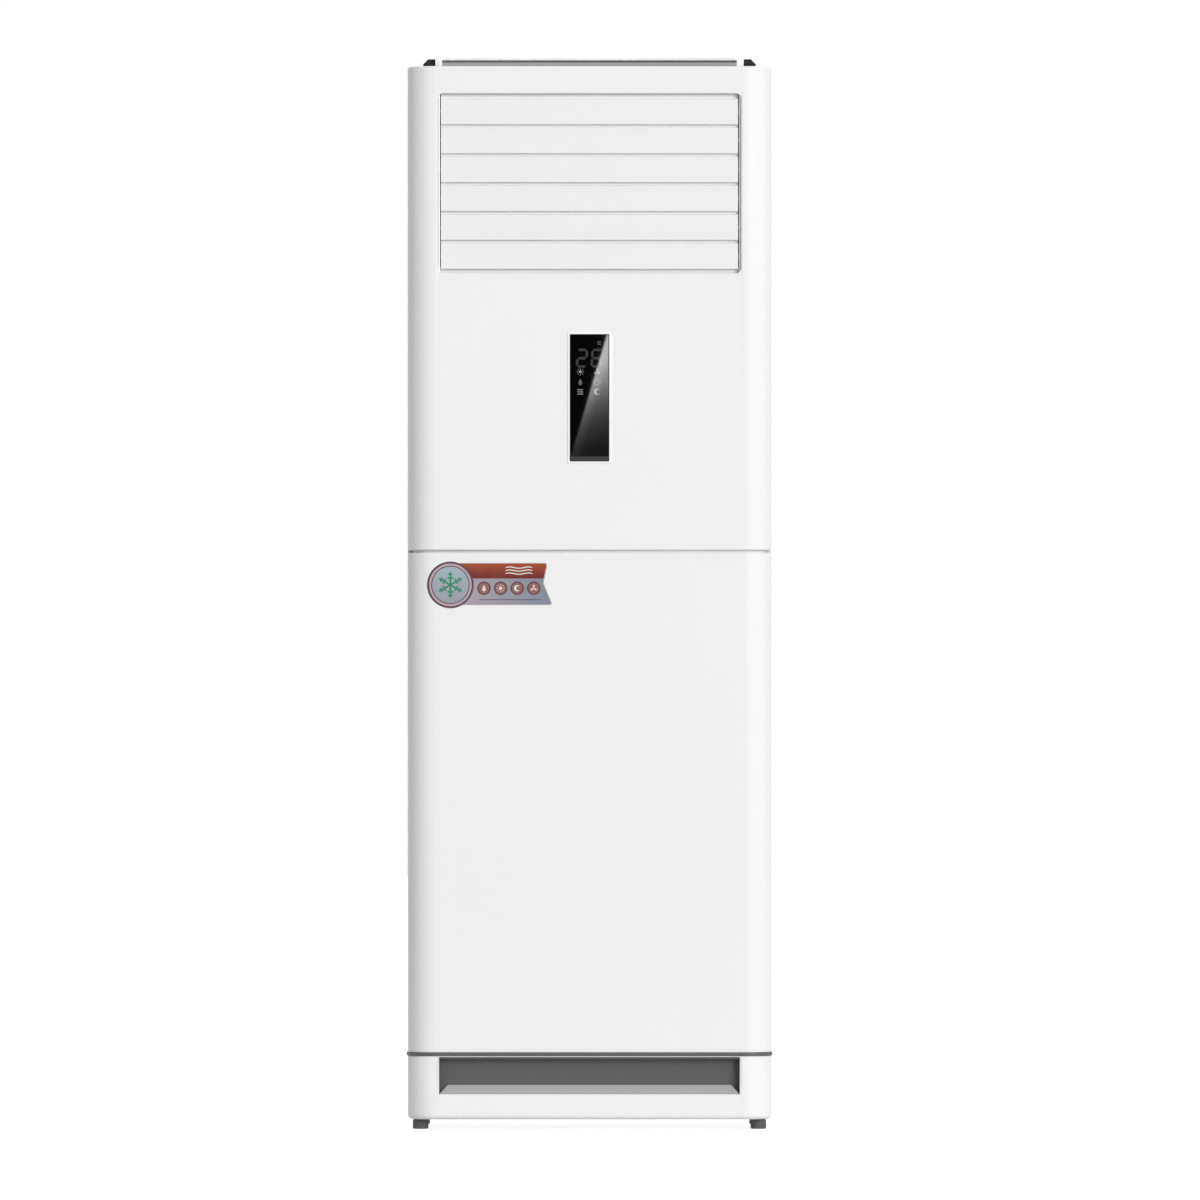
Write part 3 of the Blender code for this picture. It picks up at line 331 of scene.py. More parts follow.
# Materials
def groupMaterial(name, group, values, bump=0.0, depth=0.0, axes=None, fixed=None):
    # One material: the group's outputs feed a Principled BSDF, and plain values sit on its own sockets.
    material = bpy.data.materials.new(name)
    material.use_nodes = True
    tree = material.node_tree
    shader = tree.nodes["Principled BSDF"]
    vector = objectPlace(tree)
    if axes:
        place = splitVector(tree, vector)
        joined = addNode(tree, "CombineXYZ")
        feedAll(tree, joined, dict(enumerate(place[axis] for axis in axes)))
        vector = joined.outputs[0]
    made = addNode(tree, "Group", node_tree=group)
    feed(tree, made.inputs["Vector"], vector)
    for label, value in values.items():
        isColour = made.inputs[label].type == "RGBA"
        made.inputs[label].default_value = (*value, 1.0) if isColour else value
    feed(tree, shader.inputs["Base Color"], made.outputs["Color"])
    if "Roughness" in made.outputs:
        feed(tree, shader.inputs["Roughness"], made.outputs["Roughness"])
    if bump:
        bumpNode = addNode(tree, "Bump")
        feedAll(tree, bumpNode, {"Strength": bump, "Distance": depth, "Height": made.outputs["Height"]})
        feed(tree, shader.inputs["Normal"], bumpNode.outputs["Normal"])
    for label, value in (fixed or {}).items():
        shader.inputs[label].default_value = value
    return material


def plastic(name, light, dark, pebble, rough=0.5, swing=0.1, bump=0.0, depth=0.0, gloss=0.5):
    # Moulded plastic: two tones, the pebble's scale, its roughness and how much that swings.
    values = {"Light": light, "Dark": dark, "Pebble Scale": pebble,
              "Roughness": rough, "Roughness Swing": swing}
    return groupMaterial(name, plasticGrain, values, bump, depth, fixed={"Specular IOR Level": gloss})


def metal(name, light, dark, cells, rough, bump):
    values = {"Light": light, "Dark": dark, "Cell Scale": cells, "Roughness": rough}
    return groupMaterial(name, zincSpangle, values, bump, depth=0.0001, fixed={"Metallic": 1.0})


def net(name, thread, hole, pitch, axes):
    # A woven net in the plane of two axes: x, y or z as 0, 1 or 2.
    values = {"Thread": thread, "Hole": hole, "Pitch": pitch}
    return groupMaterial(
        name, filterNet, values, bump=0.4, depth=0.0003, axes=axes, fixed={"Roughness": 0.75})


def displayInk(name, ink):
    # Marks printed behind the clear front of the lens.
    values = {"Ink": ink, "Ink Far": ink, "Dot Scale": 2200.0, "Dot Lift": 0.02}
    clearFront = {"Specular IOR Level": 0.0, "Coat Weight": 1.0, "Coat Roughness": 0.015}
    return groupMaterial(name, printedFilm, values, fixed=clearFront)


def stickerInk(name, ink, farInk=None, axis=0, start=0.0, end=math.inf):
    # An ink on the sticker, which turns into a second one from start to end along x or z, as 0 or 2.
    fadeAxis = [0.0, 0.0, 0.0]
    fadeAxis[axis] = 1 / (end - start)
    values = {"Ink": ink, "Ink Far": farInk or ink, "Dot Scale": 3200.0, "Dot Lift": 0.03,
              "Fade Axis": fadeAxis, "Fade Start": start / (end - start)}
    return groupMaterial(name, printedFilm, values, fixed={"Specular IOR Level": 0.2})


panelWhite = plastic(
    "panelWhite", (0.862, 0.862, 0.857), (0.842, 0.842, 0.837), 2600.0,
    rough=0.42, swing=0.06, bump=0.10, depth=0.00012, gloss=0.14)
bladeWhite = plastic(
    "bladeWhite", (0.838, 0.838, 0.833), (0.818, 0.818, 0.813), 3000.0,
    rough=0.45, swing=0.06, bump=0.10, depth=0.0001, gloss=0.14)
ductWhite = plastic(
    "ductWhite", (0.90, 0.90, 0.89), (0.87, 0.87, 0.86), 1800.0,
    rough=0.55, swing=0.08, bump=0.2, depth=0.00015)
bezelWhite = plastic(
    "bezelWhite", grey(0.93), grey(0.91), 3000.0,
    rough=0.22, swing=0.05, bump=0.03, depth=0.00005)
foamWhite = plastic(
    "foamWhite", (0.93, 0.93, 0.92), (0.89, 0.89, 0.88), 1200.0,
    rough=0.85, bump=0.5, depth=0.0003)
trimGrey = plastic("trimGrey", grey(0.095), grey(0.075), 2200.0, bump=0.25, depth=0.00012)
recessGrey = plastic("recessGrey", grey(0.082), grey(0.068), 1600.0, rough=0.62, bump=0.3, depth=0.00015)
# painted light: the sill is a lighter grey than the dark intake frame for the light that falls on its upward
# slope
sillLitGrey = plastic("sillLitGrey", grey(0.48), grey(0.44), 2000.0, bump=0.2, depth=0.00012)
capBlack = plastic(
    "capBlack", (0.013, 0.013, 0.014), (0.009, 0.009, 0.010), 2000.0,
    bump=0.3, depth=0.00015, gloss=0.35)
coverGrey = plastic(
    "coverGrey", grey(0.36), grey(0.33), 2000.0,
    rough=0.55, bump=0.25, depth=0.00015, gloss=0.12)
footRubber = plastic(
    "footRubber", grey(0.098), grey(0.074), 900.0,
    rough=0.75, swing=0.12, bump=0.4, depth=0.0002)
lensBlack = plastic(
    "lensBlack", (0.0022, 0.0022, 0.0025), (0.0016, 0.0016, 0.0018), 800.0,
    rough=0.015, swing=0.008)
sheetWhite = groupMaterial(
    "sheetWhite", powderCoat,
    {"Light": (0.83, 0.83, 0.82), "Dark": (0.80, 0.80, 0.79), "Peel Scale": 420.0,
     "Roughness": 0.60, "Roughness Swing": 0.12},
    bump=0.25, depth=0.0002, fixed={"Specular IOR Level": 0.08})
netFront = net("netFront", grey(0.12), grey(0.060), 0.0016, axes=(0, 2))
netSide = net("netSide", grey(0.10), grey(0.015), 0.0018, axes=(1, 2))
zincSteel = metal("zincSteel", (0.52, 0.53, 0.55), (0.34, 0.35, 0.37), 150.0, rough=0.34, bump=0.1)
finAlloy = metal("finAlloy", (0.74, 0.76, 0.78), (0.62, 0.64, 0.67), 300.0, rough=0.28, bump=0.05)
tubeCopper = metal("tubeCopper", (0.78, 0.42, 0.28), (0.60, 0.30, 0.19), 400.0, rough=0.26, bump=0.05)
displayDim = displayInk("displayDim", (0.042, 0.041, 0.042))
displayMid = displayInk("displayMid", (0.120, 0.120, 0.122))
displayBright = displayInk("displayBright", (0.270, 0.270, 0.275))
inkMaroon = stickerInk("inkMaroon", (0.100, 0.050, 0.068))
inkTan = stickerInk("inkTan", (0.270, 0.115, 0.095))
inkPink = stickerInk("inkPink", (0.46, 0.36, 0.40))
inkGreen = stickerInk("inkGreen", (0.020, 0.220, 0.115))
inkPale = stickerInk("inkPale", (0.72, 0.66, 0.65))
inkBlue = stickerInk("inkBlue", (0.060, 0.066, 0.120))
print("materials built")


# Painted light and shade: bands of another tone on the top strip, and behind the faces of the blades
bandSoftness = 0.0004
stripLightBands = {  # from and to are metres below the strip's top
    # painted highlight: the strip's top bevel is lighter where light falls on it from above
    "bevelHighlight": {"from": 0.0043, "to": -0.001, "tone": grey(0.58)},
    # painted shade: the groove below the bevel is darker where shade falls in it
    "grooveShade": {"from": 0.0086, "to": 0.0048, "tone": grey(0.16)},
}
# painted light: the blade white is lighter behind the blade faces, on the laps and on the swing vanes further
# back, to offset the shade there
bladeLapLight = {"behind": 0.0012, "reach": 0.2, "tone": (0.92, 0.92, 0.915)}


def paintLightBand(material, low, high, colour, axis):
    # Paints light and shade as colour: recolours the part of a material that lies between two places along an
    # axis: x, y or z as 0, 1 or 2.
    tree = material.node_tree
    base = tree.nodes["Principled BSDF"].inputs["Base Color"]
    place = splitVector(tree, objectPlace(tree))[axis]
    pastLow = mathNode(tree, "DIVIDE", mathNode(tree, "SUBTRACT", place, low), bandSoftness, clamp=True)
    beforeHigh = mathNode(tree, "DIVIDE", mathNode(tree, "SUBTRACT", high, place), bandSoftness, clamp=True)
    share = mathNode(tree, "MULTIPLY", pastLow, beforeHigh)
    feed(tree, base, mixColour(tree, share, base.links[0].from_socket, colour))


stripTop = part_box("top_cover_strip")[1].z
# painted highlight on the strip's bevel and painted shade in its groove
for band in stripLightBands.values():
    paintLightBand(coverGrey, stripTop - band["from"], stripTop - band["to"], band["tone"], axis=2)
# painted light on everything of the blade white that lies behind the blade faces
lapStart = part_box("louver_blade_3")[0].y + bladeLapLight["behind"]
paintLightBand(bladeWhite, lapStart, lapStart + bladeLapLight["reach"], bladeLapLight["tone"], axis=1)


# CAD nodes
plainNodes = {
    "base_pan": zincSteel, "intake_sill": sillLitGrey, "intake_filter": netFront,
    "side_filter_left": netSide, "side_filter_right": netSide, "top_plate": sheetWhite,
    "louver_bearing_left": ductWhite, "louver_bearing_right": ductWhite,
    "duct_top": ductWhite, "duct_bottom": ductWhite, "intake_frame": recessGrey,
    "display_lens": lensBlack, "back_panel": sheetWhite, "evaporator_coil": finAlloy,
}
skinnedNodes = {  # {} stands for the left and the right one
    "base_plinth": ("baseSkin", panelWhite), "lower_front_panel": ("lowerPanelSkin", panelWhite),
    "upper_front_panel": ("upperPanelSkin", panelWhite), "base_trim_ring": ("trimSkin", trimGrey),
    "side_panel_{}": ("side{}Skin", sheetWhite), "display_bezel": ("bezelSkin", bezelWhite),
    "pipe_cover": ("pipeCoverSkin", sheetWhite), "wall_bracket": ("bracketSkin", zincSteel),
    "top_cover_strip": ("topCoverSkin", coverGrey), "top_end_cap_{}": ("cap{}Skin", capBlack),
    "panel_hook_{}": ("hook{}Skin", bezelWhite), "foot_front_{}": ("footFront{}Skin", footRubber),
    "foot_rear_{}": ("footRear{}Skin", footRubber),
}
for nodeName, material in plainNodes.items():
    for slot in nodes[nodeName].material_slots:
        slot.material = material
for nodeName, (pieceName, material) in skinnedNodes.items():
    for side in ("left", "right") if "{}" in nodeName else ("",):
        smoothSkin(nodeName.format(side), pieceName.format(side.title()), material)
for number in range(1, 8):
    smoothSkin(f"swing_vane_{number}", f"vaneSkin{number}", bladeWhite)
for number in range(1, 7):
    smoothSkin(f"louver_blade_{number}", f"bladeSkin{number}", bladeWhite, body=f"louver_blade_{number}")
smoothSkin("louver_tie_bar", "tieBarSkin", ductWhite, body="louver_tie_bar")
print("cabinet dressed")


# Foam strip in the seam between the two front panels
seamFoam = {"inset": 0.0052, "depth": 0.0028, "gap": 0.0001, "rearGap": 0.004, "arcSteps": 16}


def makeSeamFoam():
    # A rectangle swept round the cabinet in plan: straight sides and front with quarter circles between.
    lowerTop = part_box("lower_front_panel")[1]
    low, high = lowerTop.z + seamFoam["gap"], panelLow.z - seamFoam["gap"]
    outer = cornerRadius - seamFoam["inset"]
    inner = outer - seamFoam["depth"]
    turn = np.linspace(0, math.pi / 2, seamFoam["arcSteps"])
    loops = []
    for radius, z in ((outer, low), (outer, high), (inner, high), (inner, low)):
        x = halfWidth - cornerRadius + radius * np.sin(turn)
        y = panelFace + cornerRadius - radius * np.cos(turn)
        x, y = np.append(x, x[-1]), np.append(y, lowerTop.y - seamFoam["rearGap"])
        right = np.stack([x, y, np.full(len(x), z)], -1)
        loops.append(np.vstack([right[::-1], right * (-1, 1, 1)]))
    points = np.stack(loops)
    count = points.shape[1]
    ends = count * np.arange(4)
    faces = gridQuads(4, count, wrapRows=True).tolist() + [ends, ends[::-1] + count - 1]
    return newPiece("seamFoam", points.reshape(-1, 3), faces, foamWhite)


seamPiece = makeSeamFoam()
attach(seamPiece, cabinetBody)
print("seam filled")


# Evaporator coil
coil = {
    "finPitch": 0.0024, "finWall": 0.00016, "finInset": 0.001, "plateWall": 0.0012,
    "tubeRadius": 0.0048, "tubeRows": 12, "tubeSides": 16, "tubeInset": 0.0008,
    "tubeColumns": ((0.28, 0.32), (0.72, 0.68)),  # share of the coil's depth, and of a row's height
}
coilLow, coilHigh = (np.array(corner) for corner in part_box("evaporator_coil"))
coilSize = coilHigh - coilLow


def makeCoilFins():
    # A row of thin plates: each is the same box, shifted along x by the fin pitch.
    count = int((coilSize[0] - 4 * coil["plateWall"]) / coil["finPitch"])
    centres = (np.arange(count) - (count - 1) / 2) * coil["finPitch"]
    inset = coil["finInset"]
    low = (-coil["finWall"] / 2, coilLow[1] + inset, coilLow[2] + inset)
    block, sides = boxShape(low, (coil["finWall"], coilSize[1] - 2 * inset, coilSize[2] - 2 * inset))
    points = block[None] + np.stack([centres, 0 * centres, 0 * centres], -1)[:, None]
    faces = sides[None] + 8 * np.arange(count)[:, None, None]
    return newPiece("coilFins", points.reshape(-1, 3), faces.reshape(-1, 4), finAlloy)


def makeCoilTubes():
    # Straight tubes along x: the circle (y + r*cos(t), z + r*sin(t)) at both ends, in two staggered columns.
    t = circleAngles(coil["tubeSides"])
    ends = np.array([coilLow[0] + coil["tubeInset"], coilHigh[0] - coil["tubeInset"]])
    rowHeight = coilSize[2] / coil["tubeRows"]
    loop = np.arange(coil["tubeSides"])
    faces = gridQuads(2, len(t), wrapColumns=True).tolist() + [loop[::-1], loop + len(t)]
    parts = []
    for depth, level in coil["tubeColumns"]:
        for row in range(coil["tubeRows"]):
            y = coilLow[1] + depth * coilSize[1] + coil["tubeRadius"] * np.cos(t)
            z = coilLow[2] + rowHeight * (row + level) + coil["tubeRadius"] * np.sin(t)
            parts.append((np.stack([np.stack([0 * t + end, y, z], -1) for end in ends]), faces))
    return newPiece("coilTubes", *mergeParts(parts), tubeCopper, flip=True)


def makeCoilPlates():
    # The two end plates: a thin box at each end of the fins.
    size = (coil["plateWall"], coilSize[1], coilSize[2])
    places = (coilLow[0], coilHigh[0] - coil["plateWall"])
    parts = [boxShape((x, coilLow[1], coilLow[2]), size) for x in places]
    return newPiece("coilPlates", *mergeParts(parts), zincSteel)


coilPieces = [makeCoilFins(), makeCoilTubes(), makeCoilPlates()]
for piece in coilPieces:
    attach(piece, cabinetBody)
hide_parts("evaporator_coil")
print("coil built")


# Screws on the back
screw = {
    "radius": 0.0042, "rise": 0.0020, "recess": 0.0011, "slotHalf": 0.00062, "slotReach": 0.0024,
    "rings": 13, "spokes": 40, "lift": 0.0001, "edge": 0.008, "edgeLevels": (0.16, 1.72), "edgeCount": 7,
    "innerColumns": (-0.14, 0.0, 0.14), "innerLevels": (0.142, 1.68),
}


def screwHead(centre):
    # A pan head facing +Y: at radius r the height is rise*(1-(r/R)^4)^(1/2), less a cross-shaped pit.
    rings, spokes = screw["rings"], screw["spokes"]
    r, t = np.meshgrid(np.linspace(0, 1, rings + 1)[1:], circleAngles(spokes), indexing="ij")
    x, z = screw["radius"] * r * np.cos(t), screw["radius"] * r * np.sin(t)
    height = screw["rise"] * np.sqrt(np.clip(1 - r**4, 0, 1))
    arm = np.minimum(np.abs(x), np.abs(z)) < screw["slotHalf"]
    reach = np.maximum(np.abs(x), np.abs(z)) < screw["slotReach"]
    height = height - np.where(arm & reach, screw["recess"], 0.0)
    middle = [[0, screw["rise"] - screw["recess"], 0]]
    points = np.vstack([np.stack([x, height, z], -1).reshape(-1, 3), middle]) + np.asarray(centre)
    loop = np.arange(spokes)
    fan = np.stack([np.full(spokes, rings * spokes), np.roll(loop, -1), loop], -1)
    faces = gridQuads(rings, spokes, wrapColumns=True).tolist() + fan.tolist()
    return points, faces + [(rings - 1) * spokes + loop]


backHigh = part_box("back_panel")[1]
edgeX, screwY = backHigh.x - screw["edge"], backHigh.y + screw["lift"]
edgeLevels = np.linspace(*screw["edgeLevels"], screw["edgeCount"])
screwPlaces = [(side * edgeX, screwY, z) for side in (-1, 1) for z in edgeLevels]
screwPlaces += [(x, screwY, z) for x in screw["innerColumns"] for z in screw["innerLevels"]]
screwParts = mergeParts([screwHead(place) for place in screwPlaces])
backScrews = newPiece("backScrews", *screwParts, zincSteel, sharpAngle=30, flip=True)
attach(backScrews, cabinetBody)
print("screws built")


# Places in the photograph
photoPixels = 1200
photoScale = 0.602 / 364.2  # metres for one pixel: the cabinet's width over its columns
photoCentre, photoFloor = 589.5, 1129.3  # column of the cabinet's middle and row of the floor


def fromPhoto(px, py):
    # Place on the cabinet's front of a pixel of the photograph.
    return (px - photoCentre) * photoScale, (photoFloor - py) * photoScale


# Flat marks
inkLayer = 0.00006  # thickness of a printed mark
markStep = 0.00002  # lift of a mark that lies on another
barGap = 0.15  # share of a bar's stroke left free at each of its ends


def segmentBar(start, end, stroke):
    # A thin six-cornered outline between two points, pointed at both ends and a little short of them.
    start, end = np.array(start, float), np.array(end, float)
    tip = (end - start) / np.linalg.norm(end - start) * stroke / 2
    side = np.array([-tip[1], tip[0]])
    a, b = start + 2 * tip * barGap, end - 2 * tip * barGap
    return np.array([a, a + tip + side, b - tip + side, b, b - tip - side, a + tip - side])


def flatShape(outline, y, thickness=inkLayer):
    # A closed thin plate in the xz plane: the outline at two depths, with a rim between them.
    outline = np.asarray(outline, float)
    count = len(outline)
    front = np.stack([outline[:, 0], np.full(count, y - thickness), outline[:, 1]], -1)
    loop = np.arange(count)
    following = np.roll(loop, -1)
    rim = np.stack([loop, loop + count, following + count, following], -1)
    return np.vstack([front, front + (0.0, thickness, 0.0)]), [loop, loop[::-1] + count] + rim.tolist()


def diskOutline(x, z, radius, count):
    # A circle: (x + r*cos(t), z + r*sin(t)).
    t = circleAngles(count)
    return np.stack([x + radius * np.cos(t), z + radius * np.sin(t)], -1)


def ringShape(x, z, inner, outer, y, count):
    # A flat ring: four circles, an inner and an outer one at two depths, joined round as a torus.
    loops = ((inner, y), (outer, y), (outer, y - inkLayer), (inner, y - inkLayer))
    flat = [(diskOutline(x, z, radius, count), depth) for radius, depth in loops]
    points = np.stack([np.stack([ring[:, 0], np.full(count, depth), ring[:, 1]], -1) for ring, depth in flat])
    return points.reshape(-1, 3), gridQuads(4, count, wrapRows=True, wrapColumns=True)


def turned(points, angle):
    # Points of the plane turned round its origin.
    spin = np.array([[math.cos(angle), math.sin(angle)], [-math.sin(angle), math.cos(angle)]])
    return np.asarray(points, float) @ spin


# Small plain marks: the measures are shares of a mark's size, its middle is the origin, and each shape
# is an outline with the number of steps that it is lifted.
fanMark = {"blades": (90, 210, 330), "middle": 0.52, "long": 0.42, "wide": 0.22, "hub": 0.1,
           "bladeSteps": 14, "hubSteps": 10}
dropMark = {"wide": 0.62, "tall": 0.85, "steps": 22}
sunMark = {"disc": 0.4, "discSteps": 18, "rays": 8, "rayStart": 0.58, "stroke": 0.16}
barsMark = {"levels": (-0.55, 0.0, 0.55), "half": 0.8, "stroke": 0.24}
moonMark = {"scale": 0.85, "outerGap": 0.6, "innerGap": 0.95, "innerMiddle": 0.42, "innerRadius": 0.68,
            "outerSteps": 20, "innerSteps": 16}
clockMark = {"inner": 0.72, "outer": 0.9, "upHand": 0.6, "sideHand": 0.45, "stroke": 0.18, "steps": 28}


def fanShapes():
    # Three ellipses away from the middle, turned by a third each, and a hub.
    t = circleAngles(fanMark["bladeSteps"])
    petal = np.stack([fanMark["middle"] + fanMark["long"] * np.cos(t), fanMark["wide"] * np.sin(t)], -1)
    hub = diskOutline(0, 0, fanMark["hub"], fanMark["hubSteps"])
    return [(turned(petal, math.radians(blade)), 0) for blade in fanMark["blades"]] + [(hub, 1)]


def dropShapes():
    # A teardrop: x = wide*sin(t)*sin(t/2), z = tall*cos(t).
    t = circleAngles(dropMark["steps"])
    body = np.stack([dropMark["wide"] * np.sin(t) * np.sin(t / 2), dropMark["tall"] * np.cos(t)], -1)
    return [(body[::-1], 0)]


def sunShapes():
    # A disc and bars on the lines that run out from its middle.
    ray = segmentBar((sunMark["rayStart"], 0), (1, 0), sunMark["stroke"])
    turns = np.arange(sunMark["rays"]) * fullTurn / sunMark["rays"]
    disc = diskOutline(0, 0, sunMark["disc"], sunMark["discSteps"])
    return [(disc, 0)] + [(turned(ray, turn), 0) for turn in turns]


def barsShapes():
    # Three level bars.
    half, stroke = barsMark["half"], barsMark["stroke"]
    return [(segmentBar((-half, level), (half, level), stroke), 0) for level in barsMark["levels"]]


def moonShapes():
    # A crescent: the outer arc one way and a smaller, shifted arc back.
    outer = np.linspace(moonMark["outerGap"], fullTurn - moonMark["outerGap"], moonMark["outerSteps"])
    inner = np.linspace(fullTurn - moonMark["innerGap"], moonMark["innerGap"], moonMark["innerSteps"])
    innerX = moonMark["innerMiddle"] + moonMark["innerRadius"] * np.cos(inner)
    outside = np.stack([np.cos(outer), np.sin(outer)], -1)
    inside = np.stack([innerX, moonMark["innerRadius"] * np.sin(inner)], -1)
    return [(np.vstack([outside, inside]) * moonMark["scale"], 0)]


def clockShapes():
    # Two hands: one up and one to the right, lifted off the first.
    stroke = clockMark["stroke"]
    return [(segmentBar((0, 0), (0, clockMark["upHand"]), stroke), 0),
            (segmentBar((0, 0), (clockMark["sideHand"], 0), stroke), 1)]


markShapes = {"fan": fanShapes, "drop": dropShapes, "sun": sunShapes, "bars": barsShapes, "moon": moonShapes,
              "clock": clockShapes}


def markParts(kind, x, z, size, y):
    # A mark's shapes at their size and place; the clock also has its ring.
    shapes = markShapes[kind]()
    parts = [flatShape(outline * size + (x, z), y - steps * markStep) for outline, steps in shapes]
    if kind == "clock":
        inner, outer = clockMark["inner"] * size, clockMark["outer"] * size
        parts.insert(0, ringShape(x, z, inner, outer, y, clockMark["steps"]))
    return parts


# Display marks: places are columns and rows of the photograph
display = {
    "digits": (("2", 582.0), ("6", 596.6)), "digitRow": 358.2, "topBars": (599.0, 342.9),
    "columns": (580.3, 597.2), "rows": (371.8, 382.0, 391.9), "markSize": 0.0064, "topBarsSize": 0.0042,
    "marks": (("sun", "fan"), ("drop", "clock"), ("bars", "moon")), "faintRow": 1, "lift": 0.00003,
}
digitShape = {"width": 0.0150, "height": 0.0275, "stroke": 0.0042, "lean": 0.06}
digitSegments = {"2": "abged", "6": "afgedc"}
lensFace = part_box("display_lens")[0].y
markY = lensFace - display["lift"]


def digitParts(character, x, z):
    # A seven segment digit: bars between six corners, which lean to the right with their height.
    halfW, halfH = digitShape["width"] / 2, digitShape["height"] / 2
    corners = {level + side: (sx * halfW + sz * halfH * digitShape["lean"], sz * halfH)
               for level, sz in (("t", 1), ("m", 0), ("b", -1)) for side, sx in (("l", -1), ("r", 1))}
    runs = {"a": ("tl", "tr"), "b": ("tr", "mr"), "c": ("mr", "br"), "d": ("bl", "br"),
            "e": ("ml", "bl"), "f": ("tl", "ml"), "g": ("ml", "mr")}
    ends = [(corners[runs[letter][0]], corners[runs[letter][1]]) for letter in digitSegments[character]]
    return [flatShape(segmentBar(*pair, digitShape["stroke"]) + (x, z), markY) for pair in ends]


digitMarks, brightMarks = [], []
for character, px in display["digits"]:
    digitMarks += digitParts(character, *fromPhoto(px, display["digitRow"]))
faintMarks = markParts("bars", *fromPhoto(*display["topBars"]), display["topBarsSize"], markY)
for row, (py, kinds) in enumerate(zip(display["rows"], display["marks"])):
    for px, kind in zip(display["columns"], kinds):
        parts = markParts(kind, *fromPhoto(px, py), display["markSize"], markY)
        (faintMarks if row == display["faintRow"] else brightMarks).extend(parts)
displayLayers = {
    "displayDigits": (digitMarks, displayDim), "displayIcons": (brightMarks, displayBright),
    "displayFaintIcons": (faintMarks, displayMid),
}
for name, (parts, ink) in displayLayers.items():
    marks = newPiece(name, *mergeParts(parts), ink, sharpAngle=20)
    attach(marks, cabinetBody)
print("display marked")


# Sticker on the lower panel: places are columns and rows of the photograph
sticker = {
    "disc": (450.4, 584.9), "left": 459.0, "top": 563.6, "split": 578.5, "bottom": 604.4,
    "tailTop": 546.8, "tailBottom": 551.8, "notch": (542.6, 583.1),
    "rimGap": 0.7, "tailGap": 0.84, "notchGap": 0.98,  # how far the pink rim stands out
    "silverFade": (470.0, 545.0), "redFade": (565.0, 577.5),
    "marks": (("drop", 484.0), ("sun", 500.6), ("moon", 517.2), ("fan", 533.8)), "markRow": 588.2,
    "rule": (479.0, 541.0), "ruleRow": 599.6,
}
stickerSizes = {  # metres
    "disc": 0.0386, "ring": 0.0034, "thinRing": 0.0016, "discHole": 0.0002, "tailRound": 0.0056,
    "mark": 0.0062, "sunMark": 0.0070, "markRim": 0.0112, "markField": 0.0088, "rule": 0.0011, "film": 0.0001,
}
circleSteps = {"rim": 40, "field": 36}
mistFade = (0.6, -1.4)  # shares of the disc's radius over its middle
marksLift = 0.00022  # how far the ribbon's marks stand off the panel


def onPanel(x, z, lift):
    # Point on the lower panel: flat between the corners, then round the corner circle.
    past = np.clip(np.abs(x) - (halfWidth - cornerRadius), 0, cornerRadius)
    y = panelFace + cornerRadius - np.sqrt(cornerRadius**2 - past**2)
    return np.stack([x, y - lift, z], -1)


def polarSheet(x, z, inner, outer, lift, rings=10, spokes=72):
    # A disc or ring of film: radius from inner to outer, angle all the way round.
    r, t = np.meshgrid(np.linspace(inner, outer, rings), circleAngles(spokes), indexing="ij")
    xs, zs = x + r * np.cos(t), z + r * np.sin(t)
    top = onPanel(xs, zs, lift).reshape(-1, 3)
    under = onPanel(xs, zs, lift - stickerSizes["film"]).reshape(-1, 3)
    count = rings * spokes
    face = gridQuads(rings, spokes, wrapColumns=True)
    faces = face.tolist() + (face[:, ::-1] + count).tolist()
    for ring, turn in ((rings - 1, 1), (0, -1)):
        here = ring * spokes + np.arange(spokes)
        following = ring * spokes + np.roll(np.arange(spokes), turn)
        faces += np.stack([here, following, following + count, here + count], -1).tolist()
    return np.vstack([top, under]), faces


def roundedOutline(corners, radii, steps=6):
    # Each corner P with neighbours A and B becomes the curve (1-t)^2*(P+ra) + 2t(1-t)*P + t^2*(P+rb).
    corners = np.asarray(corners, float)
    t = np.linspace(0, 1, steps)[:, None]
    outline = []
    for index, (corner, radius) in enumerate(zip(corners, radii)):
        before = corners[index - 1] - corner
        after = corners[(index + 1) % len(corners)] - corner
        first = corner + before / np.linalg.norm(before) * radius
        last = corner + after / np.linalg.norm(after) * radius
        curve = (1 - t) ** 2 * first + 2 * t * (1 - t) * corner + t**2 * last
        outline.append(curve if radius else corner[None])
    return np.vstack(outline)


def ribbonPlate(pixelCorners, radii, lift):
    # A flat piece of the ribbon from corners given in the photograph's pixels.
    corners = [fromPhoto(px, py) for px, py in pixelCorners]
    film = stickerSizes["film"]
    return flatShape(roundedOutline(corners, radii), panelFace - lift + film, film)


discX, discZ = fromPhoto(*sticker["disc"])
discRadius, ringWidth, tailRound = (stickerSizes[key] for key in ("disc", "ring", "tailRound"))
paleRadius, fieldRadius = discRadius - ringWidth, discRadius - 2 * ringWidth
left, top, split, bottom = (sticker[key] for key in ("left", "top", "split", "bottom"))
tailTop, tailBottom, (notchX, notchY) = sticker["tailTop"], sticker["tailBottom"], sticker["notch"]
splitX = notchX + (tailTop - notchX) * (notchY - split) / (notchY - top)
rimGap, tailGap = sticker["rimGap"], sticker["tailGap"]
rimCorners = [
    (left, bottom + rimGap), (tailBottom + tailGap, bottom + rimGap), (notchX + sticker["notchGap"], notchY),
    (tailTop + tailGap, top - rimGap), (left, top - rimGap)]
fieldCorners = [(left, bottom), (tailBottom, bottom), (notchX, notchY), (splitX, split), (left, split)]
bandCorners = [(left, split), (splitX, split), (tailTop, top), (left, top)]

